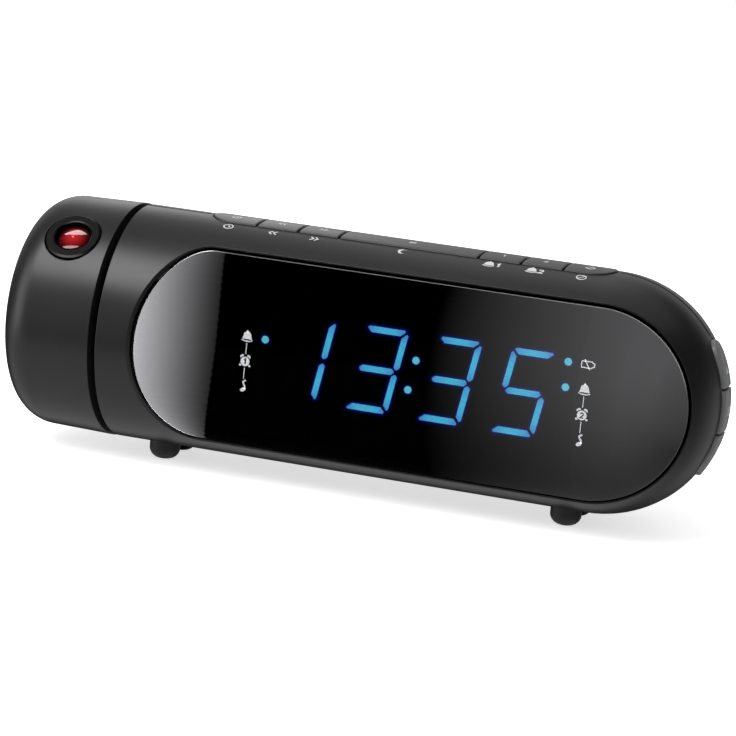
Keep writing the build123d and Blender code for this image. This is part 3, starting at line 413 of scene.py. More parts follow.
def lit_diffuser(name, light, strength, light_end=None):
    """White epoxy over a lit diode: brightest in its middle, and bluer and weaker towards its ends."""
    material, tree = begin_material(name)
    where = node(tree, "ShaderNodeTexCoord").outputs["Object"]
    cloud = node(tree, "ShaderNodeTexNoise", {"Vector": where, "Scale": 1 / (2.5 * MM), "Detail": 1.0})
    uneven = node(tree, "ShaderNodeMapRange", {
        "Value": cloud, "To Min": strength * 0.9, "To Max": strength * 1.1})
    end = node(tree, "ShaderNodeAttribute", attribute_name="end").outputs["Fac"]
    far = node(tree, "ShaderNodeMath", {0: end, 1: 2.5}, operation="POWER")
    fade = node(tree, "ShaderNodeMapRange", {"Value": far, "To Min": 1.0, "To Max": 0.85})
    level = node(tree, "ShaderNodeMath", {0: uneven, 1: fade}, operation="MULTIPLY")
    tone = node(tree, "ShaderNodeMix", {"Factor": far, "A": light, "B": light_end or light}, data_type="RGBA")
    surface = node(tree, "ShaderNodeBsdfPrincipled", {
        "Base Color": light, "Roughness": 0.4, "Emission Color": tone, "Emission Strength": level})
    node(tree, "ShaderNodeOutputMaterial", {"Surface": surface})
    return material


def light_spill(name, light, strength):
    """Matt black film round a lit segment, where the light bleeds out and fades."""
    material, tree = begin_material(name)
    glow = node(tree, "ShaderNodeAttribute", attribute_name="glow").outputs["Fac"]
    falloff = node(tree, "ShaderNodeMath", {0: glow, 1: 2.2}, operation="POWER")
    level = node(tree, "ShaderNodeMath", {0: falloff, 1: strength}, operation="MULTIPLY")
    surface = node(tree, "ShaderNodeBsdfPrincipled", {
        "Base Color": paint("050506"), "Roughness": 0.6, "Emission Color": light, "Emission Strength": level})
    node(tree, "ShaderNodeOutputMaterial", {"Surface": surface})
    return material


def printed_ink(name, ink):
    """Pad-printed ink: matt, with a slightly uneven film."""
    material, tree = begin_material(name)
    where = node(tree, "ShaderNodeTexCoord").outputs["Object"]
    film = node(tree, "ShaderNodeTexNoise", {"Vector": where, "Scale": 1 / (0.5 * MM), "Detail": 2.0})
    gloss = node(tree, "ShaderNodeMapRange", {"Value": film, "To Min": 0.4, "To Max": 0.6})
    surface = node(tree, "ShaderNodeBsdfPrincipled", {"Base Color": ink, "Roughness": gloss})
    node(tree, "ShaderNodeOutputMaterial", {"Surface": surface})
    return material


def soft_rubber(name, base):
    """Moulded elastomer: matt, dusty on its high spots."""
    material, tree = begin_material(name)
    where = node(tree, "ShaderNodeTexCoord").outputs["Object"]
    dust = node(tree, "ShaderNodeTexNoise", {"Vector": where, "Scale": 1 / (0.8 * MM), "Detail": 4.0})
    tone = node(tree, "ShaderNodeMix", {"Factor": dust, "A": base, "B": shade(base, 1.35)}, data_type="RGBA")
    bumps = node(tree, "ShaderNodeBump", {"Strength": 0.3, "Distance": 0.03 * MM, "Height": dust})
    surface = node(tree, "ShaderNodeBsdfPrincipled", {
        "Base Color": tone, "Roughness": 0.62, "IOR": 1.52, "Normal": bumps})
    node(tree, "ShaderNodeOutputMaterial", {"Surface": surface})
    return material


def plated_metal(name, base, roughness, brush):
    """Plated steel: metallic, with fine drawn lines across the part."""
    material, tree = begin_material(name)
    where = node(tree, "ShaderNodeTexCoord").outputs["Object"]
    drawn = node(tree, "ShaderNodeMapping", {"Vector": where, "Scale": (1.0, 1.0, 0.06)})
    lines = node(tree, "ShaderNodeTexNoise", {"Vector": drawn, "Scale": 1 / brush, "Detail": 3.0})
    gloss = node(tree, "ShaderNodeMapRange", {
        "Value": lines, "To Min": roughness * 0.7, "To Max": roughness * 1.3})
    surface = node(tree, "ShaderNodeBsdfPrincipled", {"Base Color": base, "Metallic": 1.0, "Roughness": gloss})
    node(tree, "ShaderNodeOutputMaterial", {"Surface": surface})
    return material


def circuit_laminate(name, mask):
    """Glass-fibre laminate under solder mask, with the copper tracks showing as a lighter grid."""
    material, tree = begin_material(name)
    where = node(tree, "ShaderNodeTexCoord").outputs["Object"]
    tracks = node(tree, "ShaderNodeTexBrick", {
        "Vector": where, "Scale": 1 / (5 * MM), "Color1": mask, "Color2": shade(mask, 1.25),
        "Mortar": shade(mask, 1.8), "Mortar Size": 0.03})
    surface = node(tree, "ShaderNodeBsdfPrincipled", {"Base Color": tracks, "Roughness": 0.32})
    node(tree, "ShaderNodeOutputMaterial", {"Surface": surface})
    return material


def pressed_fibre(name, base, pitch):
    """Pressed paper, felt or woven cloth: matt threads that cross each other."""
    material, tree = begin_material(name)
    where = node(tree, "ShaderNodeTexCoord").outputs["Object"]
    threads = node(tree, "ShaderNodeTexWave", {
        "Vector": where, "Scale": 1 / (pitch * math.tau), "Distortion": 2.0}, bands_direction="DIAGONAL")
    bumps = node(tree, "ShaderNodeBump", {
        "Strength": 0.6, "Distance": 0.1 * MM, "Height": threads.outputs["Fac"]})
    surface = node(tree, "ShaderNodeBsdfPrincipled", {
        "Base Color": base, "Roughness": 0.85, "Sheen Weight": 0.2, "Normal": bumps})
    node(tree, "ShaderNodeOutputMaterial", {"Surface": surface})
    return material


def dress(material, *names):
    """Give CAD pieces a material."""
    for name in names:
        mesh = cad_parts[name].data
        mesh.materials.clear()
        mesh.materials.append(material)


# ---------------------------------------------------------------- flat drawing, in millimetres
def arc(cx, cy, radius, start=0.0, end=360.0, count=24):
    """Points along an arc; a full turn leaves out its last point."""
    steps = count if abs(end - start) >= 360 else count - 1
    turns = [math.radians(start + (end - start) * i / steps) for i in range(count)]
    return [(cx + radius * math.cos(turn), cy + radius * math.sin(turn)) for turn in turns]


def stroke(points, width, closed=False):
    """Four-sided faces along a line of points, with mitred corners."""
    count = len(points)
    left = []
    right = []
    for i, point in enumerate(points):
        here = Vector(point)
        before = Vector(points[(i - 1) % count]) if closed or i > 0 else None
        after = Vector(points[(i + 1) % count]) if closed or i < count - 1 else None
        into = (here - before).normalized() if before is not None else (after - here).normalized()
        out = (after - here).normalized() if after is not None else into
        normal = Vector((-(into + out).y, (into + out).x)).normalized()
        reach = width / 2 / max(normal.dot(Vector((-into.y, into.x))), 0.4)
        left.append(tuple(here + normal * reach))
        right.append(tuple(here - normal * reach))
    last = count if closed else count - 1
    return [[left[i], right[i], right[(i + 1) % count], left[(i + 1) % count]] for i in range(last)]


def moved(faces, dx, dy, scale=1.0):
    """Flat faces, scaled and then moved."""
    return [[(dx + x * scale, dy + y * scale) for x, y in face] for face in faces]


def bell():
    """A solid bell over its open rim, about 2.9 wide and 3.2 tall."""
    body = [(1.4, -0.6), (1.2, -0.25), (1.12, 0.2)] + arc(0, 0.35, 1.05, 0, 180, 15)
    body += [(-1.12, 0.2), (-1.2, -0.25), (-1.4, -0.6)]
    rim = [(1.55, -0.72), (1.48, -1.0), (0.6, -1.28), (-0.6, -1.28), (-1.48, -1.0), (-1.55, -0.72),
           (-0.72, -0.98), (0.72, -0.98)]
    return [body, rim, arc(0, 1.44, 0.28)]


def numeral_one():
    return stroke([(-0.24, 0.34), (0.08, 0.6), (0.08, -0.6)], 0.32)


def numeral_two():
    return stroke(arc(0, 0.22, 0.34, 165, -35, 9) + [(-0.38, -0.56), (0.42, -0.56)], 0.26)


def alarm_clock():
    """A solid round clock with two bells and two feet."""
    faces = [arc(0, 0, 1.24, count=36)]
    small_bell = ((0.4, 1.42), (0.42, 1.66), (0.74, 1.82), (1.14, 1.7), (1.44, 1.34), (1.44, 1.02),
                  (1.26, 0.9), (0.92, 1.22))
    for side in (-1, 1):
        faces.append([(side * x, y) for x, y in small_bell])
        faces.append(arc(side * 1.3, -1.02, 0.3))
    return faces


def note():
    """A musical note."""
    head = [(0.72 * math.cos(turn) + 0.08, 0.54 * math.sin(turn) - 0.84 + 0.2 * math.cos(turn))
            for turn in (math.radians(15 * i) for i in range(24))]
    return [head] + stroke([(0.64, -0.6), (0.5, 0.1), (-0.04, 0.96), (-0.02, 1.2), (0.72, 1.6)], 0.42)


def battery():
    """A battery crossed out."""
    outline = [(-1.5, -0.6), (-1.5, 0.6), (-1.3, 0.82), (1.2, 0.82), (1.42, 0.5), (1.84, 0.42), (1.84, -0.42),
               (1.42, -0.5), (1.2, -0.82), (-1.3, -0.82)]
    return stroke(outline, 0.26, True) + stroke([(-0.75, 1.3), (0.75, -1.3)], 0.26)


def dial():
    """A plain clock face with its two hands."""
    return stroke(arc(0, 0, 1.0), 0.26, True) + stroke([(0, 0.62), (0, 0), (0.45, -0.25)], 0.22)


def chevrons(way):
    """Two arrow heads, one behind the other."""
    head = stroke([(-0.35 * way, 0.75), (0.35 * way, 0), (-0.35 * way, -0.75)], 0.3)
    return moved(head, -0.5, 0) + moved(head, 0.5, 0)


def moon():
    """A crescent."""
    outer = arc(0, 0, 1.0, 60, 300, 17)
    inner = arc(0.52, 0, 0.9, 285, 75, 17)[::-1]
    return [[outer[i], outer[i + 1], inner[i + 1], inner[i]] for i in range(16)]


def three_lines():
    """Three short lines, one under another."""
    return [face for y in (-0.6, 0, 0.6) for face in stroke([(-0.8, y), (0.8, y)], 0.26)]


def crossed_ring():
    """A ring with a bar across it."""
    return stroke(arc(0, 0, 1.0), 0.26, True) + stroke([(-0.62, -0.62), (0.62, 0.62)], 0.26)


# ---------------------------------------------------------------- operators
class CLOCK_OT_housing(bpy.types.Operator):
    """Dress the body, the drum, the keys and the feet"""
    bl_idname = "clock.housing"
    bl_label = "Housing and keys"

    def execute(self, context):
        finish = context.scene.clock_finish
        keys = [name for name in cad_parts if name.startswith("button_")]
        for title, base, names in (
                ("charcoal", finish.housing, ["front_shell", "rear_shell", "drum_shell", "battery_door"]),
                # The keys' lighter colours are partly painted light.
                ("key charcoal, lightened as painted light", finish.keys, [name for name in keys if "side" not in name]),
                ("grey", finish.side_keys_with_painted_light, [name for name in keys if "side" in name])):
            dress(moulded_plastic("Moulded ABS, " + title, base, finish.housing_roughness, finish.grain,
                                  finish.edge_round), *names)
        dress(soft_rubber("Elastomer, black", finish.rubber), "feet")
        return {"FINISHED"}


class CLOCK_OT_inside(bpy.types.Operator):
    """Dress the pieces inside the body"""
    bl_idname = "clock.inside"
    bl_label = "Inner pieces"

    def execute(self, context):
        finish = context.scene.clock_finish
        natural = moulded_plastic("Moulded ABS, unpainted", paint("2A2A2C"), 0.5, finish.grain, 0.2 * MM)
        black = moulded_plastic("Filled polyester, matt black", paint("0A0A0B"), 0.6, finish.grain, 0.1 * MM)
        steel = plated_metal("Zinc-plated steel", paint("B4B6BA"), 0.3, 0.3 * MM)
        nickel = plated_metal("Nickel-plated spring steel", paint("CFC9BF"), 0.2, 0.2 * MM)
        board = circuit_laminate("Solder-masked laminate", finish.board)
        dress(natural, "battery_tray", "drum_bearing", "drum_hub", "projector_barrel")
        dress(black, "led_housing", "board_components", "top_switches", "side_switches")
        dress(steel, "board_screws", "case_screws", "drum_screws", "drum_clip", "speaker_magnet",
              "speaker_basket")
        dress(nickel, "battery_contacts")
        dress(board, "main_board", "switch_board", "side_switch_board", "projector_led_board")
        dress(pressed_fibre("Pressed paper cone", paint("1B1B1D"), 0.6 * MM), "speaker_cone")
        dress(pressed_fibre("Pressed felt", paint("4A4A48"), 0.3 * MM), "friction_washer")
        dress(soft_rubber("Foam tape, black", paint("0B0B0B")), "window_gasket")
        dress(polished_plastic("Cell jacket", paint("5A6470"), 0.25, 0.3 * MM), "battery_cells")
        dress(polished_plastic("Moulded nylon, black", paint("0C0C0D"), 0.3, 0.2 * MM), "power_socket")
        dress(polished_plastic("Flexible film, white", paint("D8D8D6"), 0.35, 0.05 * MM), "switch_ribbon")
        dress(acrylic("Acrylic, clear", paint("F4F6F8"), 0.01), "condenser_lens")
        return {"FINISHED"}


class CLOCK_OT_window(bpy.types.Operator):
    """Make the smoked window with its polished bevel, flush with the capsule"""
    bl_idname = "clock.window"
    bl_label = "Smoked window"

    def outline(self, size, inset, count):
        """Places round the window, each with the place on its spine that it shrinks to."""
        height = size.half_height - inset
        rim = []
        for here, other, reach, side in ((size.right_x, size.left_x, height, 1),
                                         (size.left_x, size.right_x, size.left_reach - inset, -1)):
            for i in range(count):
                turn = math.radians(180 * i / count - 90 * side)
                rim.append((here + reach * math.cos(turn), height * math.sin(turn), here))
            for i in range(count):
                x = here + (other - here) * i / count
                rim.append((x, height * side, x))
        return rim

    def execute(self, context):
        size = context.scene.clock_window
        count = 56
        bevel_steps = 4
        outer = BODY_RADIUS - size.sink
        inner = outer - size.thickness
        # Rows of an inset from the opening, a radius and a share of the way from the spine to the rim
        rows = [(size.gap, inner, ring / size.rings) for ring in range(1, size.rings + 1)]
        for step in range(bevel_steps + 1):
            turn = math.radians(90 * step / bevel_steps)
            rows.append((size.gap + size.bevel * (1 - math.cos(turn)),
                         outer - size.bevel * (1 - math.sin(turn)), 1))
        rows += [(size.gap + size.bevel, outer, ring / size.rings) for ring in range(size.rings - 1, 0, -1)]
        points = [on_capsule(spine + (x - spine) * share, z * share, radius)
                  for inset, radius, share in rows for x, z, spine in self.outline(size, inset, count)]
        loops = range(0, len(points), 4 * count)
        faces = bands(4 * count, loops)
        for loop, radius in ((loops[0], inner), (loops[-1], outer)):
            faces += self.spine_faces(loop, count, len(points))
            points += [on_capsule(size.right_x + (size.left_x - size.right_x) * i / count, 0, radius)
                       for i in range(count + 1)]
        mesh = mesh_of("smoked_window", points, faces)
        mesh.polygons.foreach_set("use_smooth", [True] * len(mesh.polygons))
        self.polish(mesh, (outer + inner) / 2)
        glass = acrylic("Cast acrylic, smoked", context.scene.clock_finish.window, 0.0)
        piece = new_piece("smoked_window", mesh, glass)
        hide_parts("display_window")
        return {"FINISHED"}

    def spine_faces(self, loop, count, spine):
        """Faces between the innermost ring and the spine."""
        faces = []
        for i in range(count):
            right, top, left, low = (loop + side * count + i for side in range(4))
            after_low = loop + (3 * count + i + 1) % (4 * count)
            faces += [[right, right + 1, spine], [left, left + 1, spine + count],
                      [top, top + 1, spine + i + 1, spine + i],
                      [low, after_low, spine + count - i - 1, spine + count - i]]
        return faces

    def polish(self, mesh, middle):
        """Set the capsule's own normals on the two polished faces."""
        flush = 0.995  # cosine of the angle up to which a point counts as one of the polished faces
        normals = []
        for vertex in mesh.vertices:
            out = vertex.co - Vector((min(vertex.co.x, CAP_X), 0, AXIS_Z))
            radial = out.normalized() * (1 if out.length > middle else -1)
            normals.append(radial if vertex.normal.dot(radial) > flush else vertex.normal)
        mesh.normals_split_custom_set_from_vertices(normals)


class CLOCK_OT_digits(bpy.types.Operator):
    """Make the seven-segment digits, the colon and the indicators, lit and unlit"""
    bl_idname = "clock.digits"
    bl_label = "Digits and indicators"

    # Each segment's place in its digit, its form and how it is turned
    bars = {"a": (0, 1, "cap", (0, 0, 0)), "d": (0, -1, "cap", (math.pi, 0, 0)),
            "g": (0, 0, "middle", (0, 0, 0)),
            "b": (1, 0.518, "upright", (0, 0, 0)), "c": (1, -0.518, "upright", (math.pi, 0, 0)),
            "e": (-1, -0.518, "upright", (0, math.pi, 0)), "f": (-1, 0.518, "upright", (0, 0, math.pi))}
    shown = ["bc", "abcdg", "abcdg", "acdfg"]

    # Half of a segment's outline: places from its end in millimetres, then its outer and inner edge as shares
    # of its half width. One end is pointed, the other is mitred with its outer edge the longer one.
    pointed = [(0, 0.2, -0.2), (0.3, 0.65, -0.65), (0.7, 1, -1)]
    mitred = [(0, 0.65, 0.3), (0.3, 1, 0), (1.15, 1, -1)]
    ends = {"cap": (mitred, mitred), "middle": (pointed, pointed), "upright": (pointed, mitred)}
    # How far each pair of points is from the segment's middle
    end_shares = [1, 0.94, 0.8, 0, 0.8, 0.94, 1]

    def outline(self, size, form, margin=0.0):
        """Pairs of points across a segment, outer and inner, from one end to the other."""
        half = size.bar_width / 2
        long = size.half_height / 2 if form == "upright" else size.half_width
        tip = long - size.bar_gap
        first, last = self.ends[form]
        near = -tip - (size.cap_left if form == "cap" else 0)
        far = tip + (size.cap_right if form == "cap" else 0)
        rows = [(near + x * MM - margin * (x == 0), outer, inner) for x, outer, inner in first]
        rows.append((0, 1, -1))
        rows += [(far - x * MM + margin * (x == 0), outer, inner) for x, outer, inner in reversed(last)]
        pairs = [((along, outer * half + margin), (along, inner * half - margin))
                 for along, outer, inner in rows]
        if form == "upright":
            return [(first[::-1], second[::-1]) for first, second in pairs]
        return pairs

    def bar_mesh(self, size, form):
        """One segment about the origin, with how far each point is from the middle."""
        deep = size.depth / 2
        rings = []
        for first, second in self.outline(size, form):
            corners = ((first, -deep), (second, -deep), (second, deep), (first, deep))
            rings.append([(x, y, z) for (x, z), y in corners])
        mesh = tube("segment", rings)
        ends = mesh.attributes.new("end", "FLOAT", "POINT")
        ends.data.foreach_set("value", [share for share in self.end_shares for corner in corners])
        return mesh

    def bar_places(self, size, lit, wanted):
        """Places and turns of the lit or unlit segments of one form."""
        places = []
        turns = []
        for index, letters in enumerate(self.shown):
            for letter, (across, up, form, turn) in self.bars.items():
                if (letter in letters) == lit and form == wanted:
                    places.append(display_plane(size.first_x + index * size.pitch + across * size.half_width,
                                                size.centre_z + up * size.half_height,
                                                0.02 * MM - size.depth / 2))
                    turns.append(turn)
        return places, turns

    def dots(self, size):
        """Places of the indicator dots: lit ones, then unlit ones."""
        left = size.left_icons + size.dot_offset
        right = size.right_icons - size.dot_offset
        lit = [(left, 1), (right, 0), (right, 1)]
        unlit = [(left, 2), (left, 3), (right, 2), (right, 3)]
        return [[display_plane(x, size.top_row - row * size.row_pitch - size.right_drop * (x == right), 0)
                 for x, row in rows] for rows in (lit, unlit)]

    def light(self, name, mesh, material):
        """Add a piece in place of the plain segments."""
        piece = new_piece(name, mesh, material)
        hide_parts("led_segments")

    def execute(self, context):
        size = context.scene.clock_display
        finish = context.scene.clock_finish
        blue = lit_diffuser("Epoxy diffuser, lit blue", finish.light, size.strength, finish.light_end)
        cyan = lit_diffuser("Epoxy diffuser, lit cyan", finish.dots, size.strength)
        dark = polished_plastic("Epoxy diffuser, unlit", paint("0B0B0D"), 0.35, 0.1 * MM)
        lean = math.tan(size.slant)
        for name, lit, material in (("lit_segments", True, blue), ("unlit_segments", False, dark)):
            mesh = joined(name, [
                repeated(name, *self.bar_places(size, lit, form), self.bar_mesh(size, form), material)
                for form in ("middle", "cap", "upright")])
            for vertex in mesh.vertices:
                vertex.co.x += (vertex.co.z - AXIS_Z - size.centre_z) * lean
            self.light(name, mesh, material)
        half = size.colon_spacing / 2
        colon = [display_plane(size.colon_x + side * half * lean, size.centre_z + side * half, 0)
                 for side in (-1, 1)]
        lit_dots, unlit_dots = self.dots(size)
        for name, rounds, radius, material in (("lit_colon", colon, size.colon_radius, cyan),
                                               ("lit_indicators", lit_dots, size.dot_radius, cyan),
                                               ("unlit_indicators", unlit_dots, size.dot_radius, dark)):
            dot = tube("indicator", [circle(Vector((0, y, 0)), radius, 28) for y in (0, size.depth)])
            lifted = [centre - Vector((0, 0.02 * MM, 0)) for centre in rounds]
            mesh = repeated(name, lifted, [(0, 0, 0)] * len(rounds), dot, material)
            self.light(name, mesh, material)
        self.make_halo(size, finish, colon + lit_dots)
        return {"FINISHED"}

    def make_halo(self, size, finish, rounds):
        """Glow on the display's face round each lit segment, fading outwards."""
        points = []
        faces = []
        glow = []

        def ring(inside, outside):
            count = len(inside)
            faces.extend(bands(count, (len(points), len(points) + count)))
            points.extend(inside + outside)
            glow.extend([1.0] * count + [0.0] * count)

        lean = math.tan(size.slant)
        for index, letters in enumerate(self.shown):
            for letter in letters:
                across, up, form, turn = self.bars[letter]
                flip_x = -1 if turn[1] or turn[2] else 1
                flip_z = -1 if turn[0] or turn[1] else 1
                cx = size.first_x + index * size.pitch + across * size.half_width
                cz = up * size.half_height
                loops = []
                for margin in (0, size.halo):
                    upper, lower = zip(*self.outline(size, form, margin))
                    loops.append([display_plane(cx + x * flip_x + (cz + z * flip_z) * lean,
                                                size.centre_z + cz + z * flip_z, 0.01 * MM)
                                  for x, z in upper + lower[::-1]])
                ring(*loops)
        for centre in rounds:
            ring(*[circle(centre - Vector((0, 0.01 * MM, 0)), radius, 24)
                   for radius in (size.dot_radius, size.dot_radius + size.halo * 0.8)])
        mesh = plain_mesh("display_glow", points, faces)
        mesh.attributes.new("glow", "FLOAT", "POINT").data.foreach_set("value", glow)
        piece = new_piece("display_glow", mesh, light_spill("Diffuser film, lit edge", finish.halo, 16.0))


class CLOCK_OT_icons(bpy.types.Operator):
    """Make the two columns of white pictograms beside the digits"""
    bl_idname = "clock.icons"
    bl_label = "Display pictograms"

    def plate(self, name, drawing, lift, sink, material):
        """Flat drawings on the display's face, as one piece."""
        def surface(u, v, height):
            return display_plane(u * MM, v * MM, height * MM)
        new_piece(name, plates(name, drawing, surface, lift, sink), material)

    def execute(self, context):
        size = context.scene.clock_display
        finish = context.scene.clock_finish
        below = 1.65  # from an icon's centre to the top of the line under it, in millimetres
        above = 1.98  # from the end of a line to the next icon's centre
        numerals = []
        faces = []
        for first, numeral, at, drop in (([], numeral_one(), size.left_icons, 0),
                                         (battery(), numeral_two(), size.right_icons, size.right_drop)):
            x = at / MM
            heights = [(size.top_row - drop - row * size.row_pitch) / MM for row in range(4)]
            for icon, height in zip((first, bell(), alarm_clock(), note()), heights):
                faces += moved(icon, x, height)
            numerals += moved(numeral, x, heights[2], 1.15)
            for upper, lower in zip(heights[1:], heights[2:]):
                faces += stroke([(x, upper - below), (x, lower + above)], 0.2)
        lit = lit_diffuser("Light guide, lit white", finish.icons, 70.0)
        black = printed_ink("Mask print, black", paint("050506"))
        self.plate("display_icons", faces, 0.04, 0.02, lit)
        self.plate("display_numerals", numerals, 0.08, -0.02, black)
        dress(polished_plastic("Masked light guide", paint("060607"), 0.4, 0.1 * MM), "icon_light_guides")
        return {"FINISHED"}


class CLOCK_OT_marks(bpy.types.Operator):
    """Print the pictograms in front of the top keys and on the side keys"""
    bl_idname = "clock.marks"
    bl_label = "Printed marks"

    def round_body(self, drawing, x, turn, scale, radius):
        """A drawing on the body, at a place along it and a turn up from the front."""
        def surface(u, v, lift):
            at = math.radians(turn) + v * scale * MM / BODY_RADIUS
            reach = radius + lift * MM
            return place(x * MM + u * scale * MM, -reach * math.cos(at), reach * math.sin(at))
        return self.label(drawing, surface)

    def round_cap(self, drawing, height, scale, radius):
        """A drawing on the rounded end, at a height above the axis."""
        def surface(u, v, lift):
            up = math.asin(height * MM / radius) + v * scale * MM / radius
            out = u * scale * MM / radius
            way = Vector((math.cos(up) * math.cos(out), math.cos(up) * math.sin(out), math.sin(up)))
            return Vector((CAP_X, 0, AXIS_Z)) + (radius + lift * MM) * way
        return self.label(drawing, surface)

    def label(self, drawing, surface):
        return plates("label", drawing, surface, 0.05, 0.03)

    def execute(self, context):
        ink = printed_ink("Pad-printed ink, white", context.scene.clock_finish.marks)
        small_bell = moved(bell(), -1.1, 0, 0.85)
        bell_one = small_bell + moved(numeral_one(), 0.9, -0.05, 1.3)
        bell_two = small_bell + moved(numeral_two(), 0.9, -0.05, 1.3)
        front_turn = 73.4
        key_turn = 86.5
        key_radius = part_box("button_snooze")[1].z - AXIS_Z
        side_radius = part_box("button_side_middle")[1].x - CAP_X
        # Drawings with their places along the body, in millimetres from the seam
        labels = [(26.4, dial()), (39.0, chevrons(-1)), (50.6, chevrons(1)), (75.1, moon()), (100.2, bell_one),
                  (111.7, bell_two), (123.6, crossed_ring())]
        tops = {"button_time": (26.2, dial()), "button_hour": (39.3, chevrons(-1)),
                "button_minute": (50.9, chevrons(1)), "button_snooze": (75.8, three_lines()),
                "button_alarm_1": (100.9, numeral_one()), "button_alarm_2": (112.3, numeral_two()),
                "button_alarm_off": (124.2, crossed_ring())}
        # Drawings with their heights above the axis
        rising = [[(-1.0, -0.7), (1.0, -0.7), (0, 0.9)]]
        falling = [[(x, -y) for x, y in rising[0]]]
        sides = {"button_side_upper": (10.5, rising), "button_side_middle": (0, dial()),
                 "button_side_lower": (-10.5, falling)}
        front = [self.round_body(drawing, x, front_turn, 1.25, BODY_RADIUS) for x, drawing in labels]
        new_piece("body_marks", joined("body_marks", front), ink)
        marks = {key: self.round_body(drawing, x, key_turn, 1.15, key_radius)
                 for key, (x, drawing) in tops.items()}
        for key, (height, drawing) in sides.items():
            marks[key] = self.round_cap(drawing, height, 1.1, side_radius)
        for key, mesh in marks.items():
            new_piece(key + "_mark", mesh, ink, key)
        return {"FINISHED"}


class CLOCK_OT_parting(bpy.types.Operator):
    """Lay a matt black strip along the parting of the front and rear shells, a painted shade for the gap between
    them
    """
    bl_idname = "clock.parting"
    bl_label = "Painted parting shade"

    # Corners of the line's section in millimetres: above the shell's surface, and behind the mid plane
    section = [(0.02, 0.1), (0.02, -0.8), (-0.1, -0.8), (-0.1, 0.1)]

    def line(self, start, end, way):
        """A run of the line, between two places on its way from the seam over the top and round the cap."""
        step = 1.0 * MM
        count = max(int((end - start) / step), 2)
        rings = []
        for i in range(count + 1):
            along = start + (end - start) * i / count
            turn = min(max((along - STRAIGHT) / BODY_RADIUS, 0), math.pi)
            x = SEAM_X + (min(along, STRAIGHT) if turn < math.pi else way - along)
            rings.append([(x + (BODY_RADIUS + lift * MM) * math.sin(turn), y * MM,
                           AXIS_Z + (BODY_RADIUS + lift * MM) * math.cos(turn)) for lift, y in self.section])
        return tube("line", rings)

    def execute(self, context):
        way = 2 * STRAIGHT + math.pi * BODY_RADIUS
        clear = 1.0 * MM
        margin = 0.3 * MM
        top = [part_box("button_time")[0].x - SEAM_X - clear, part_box("button_alarm_off")[1].x - SEAM_X + clear]
        side = [STRAIGHT + BODY_RADIUS * math.acos((z - AXIS_Z) / BODY_RADIUS)
                for z in (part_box("button_side_upper")[1].z + clear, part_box("button_side_lower")[0].z - clear)]
        ends = [margin, *top, *side, way - margin]
        runs = [self.line(start, end, way) for start, end in zip(ends[::2], ends[1::2])]
        # Painted shade: a matt black sheet laid where the narrow gap between the shells holds only shade.
        dark = soft_rubber("Painted shade in the parting gap, matt black", paint("020202"))
        new_piece("parting_line", joined("parting_line", runs), dark)
        return {"FINISHED"}


class CLOCK_OT_projector(bpy.types.Operator):
    """Dress the projector's lens, its ring and its small panel"""
    bl_idname = "clock.projector"
    bl_label = "Projector lens"

    def execute(self, context):
        finish = context.scene.clock_finish
        dress(moulded_plastic("Moulded ABS, matt ring", finish.ring, 0.34, finish.grain, 0.2 * MM, index=1.22),
              "lens_ring")
        low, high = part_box("projector_lens")
        axis = Vector((0, -math.cos(LENS_ANGLE), math.sin(LENS_ANGLE)))
        dress(lens_with_painted_glow_and_rim_shade("Polycarbonate, dyed red, painted glow and rim shade", finish.lens, (low + high) / 2, axis), "projector_lens")
        dress(lit_diffuser("Projected panel, lit red", paint("FF2A14"), 1.5), "projector_lcd")
        return {"FINISHED"}


class CLOCK_OT_grille(bpy.types.Operator):
    """Stretch a fine cloth behind the speaker's slots"""
    bl_idname = "clock.grille"
    bl_label = "Speaker cloth"

    def execute(self, context):
        low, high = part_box("speaker_basket")
        rim = 2.5 * MM
        clear = 0.3 * MM
        thickness = 0.3 * MM
        front = Vector(((low.x + high.x) / 2, high.y + clear, (low.z + high.z) / 2))
        mesh = tube("speaker_cloth", [circle(front + Vector((0, y, 0)), (high.z - low.z) / 2 - rim, 64)
                                      for y in (0, thickness)])
        piece = new_piece("speaker_cloth", mesh,
                          pressed_fibre("Woven polyester, black", paint("101011"), 0.5 * MM))
        return {"FINISHED"}


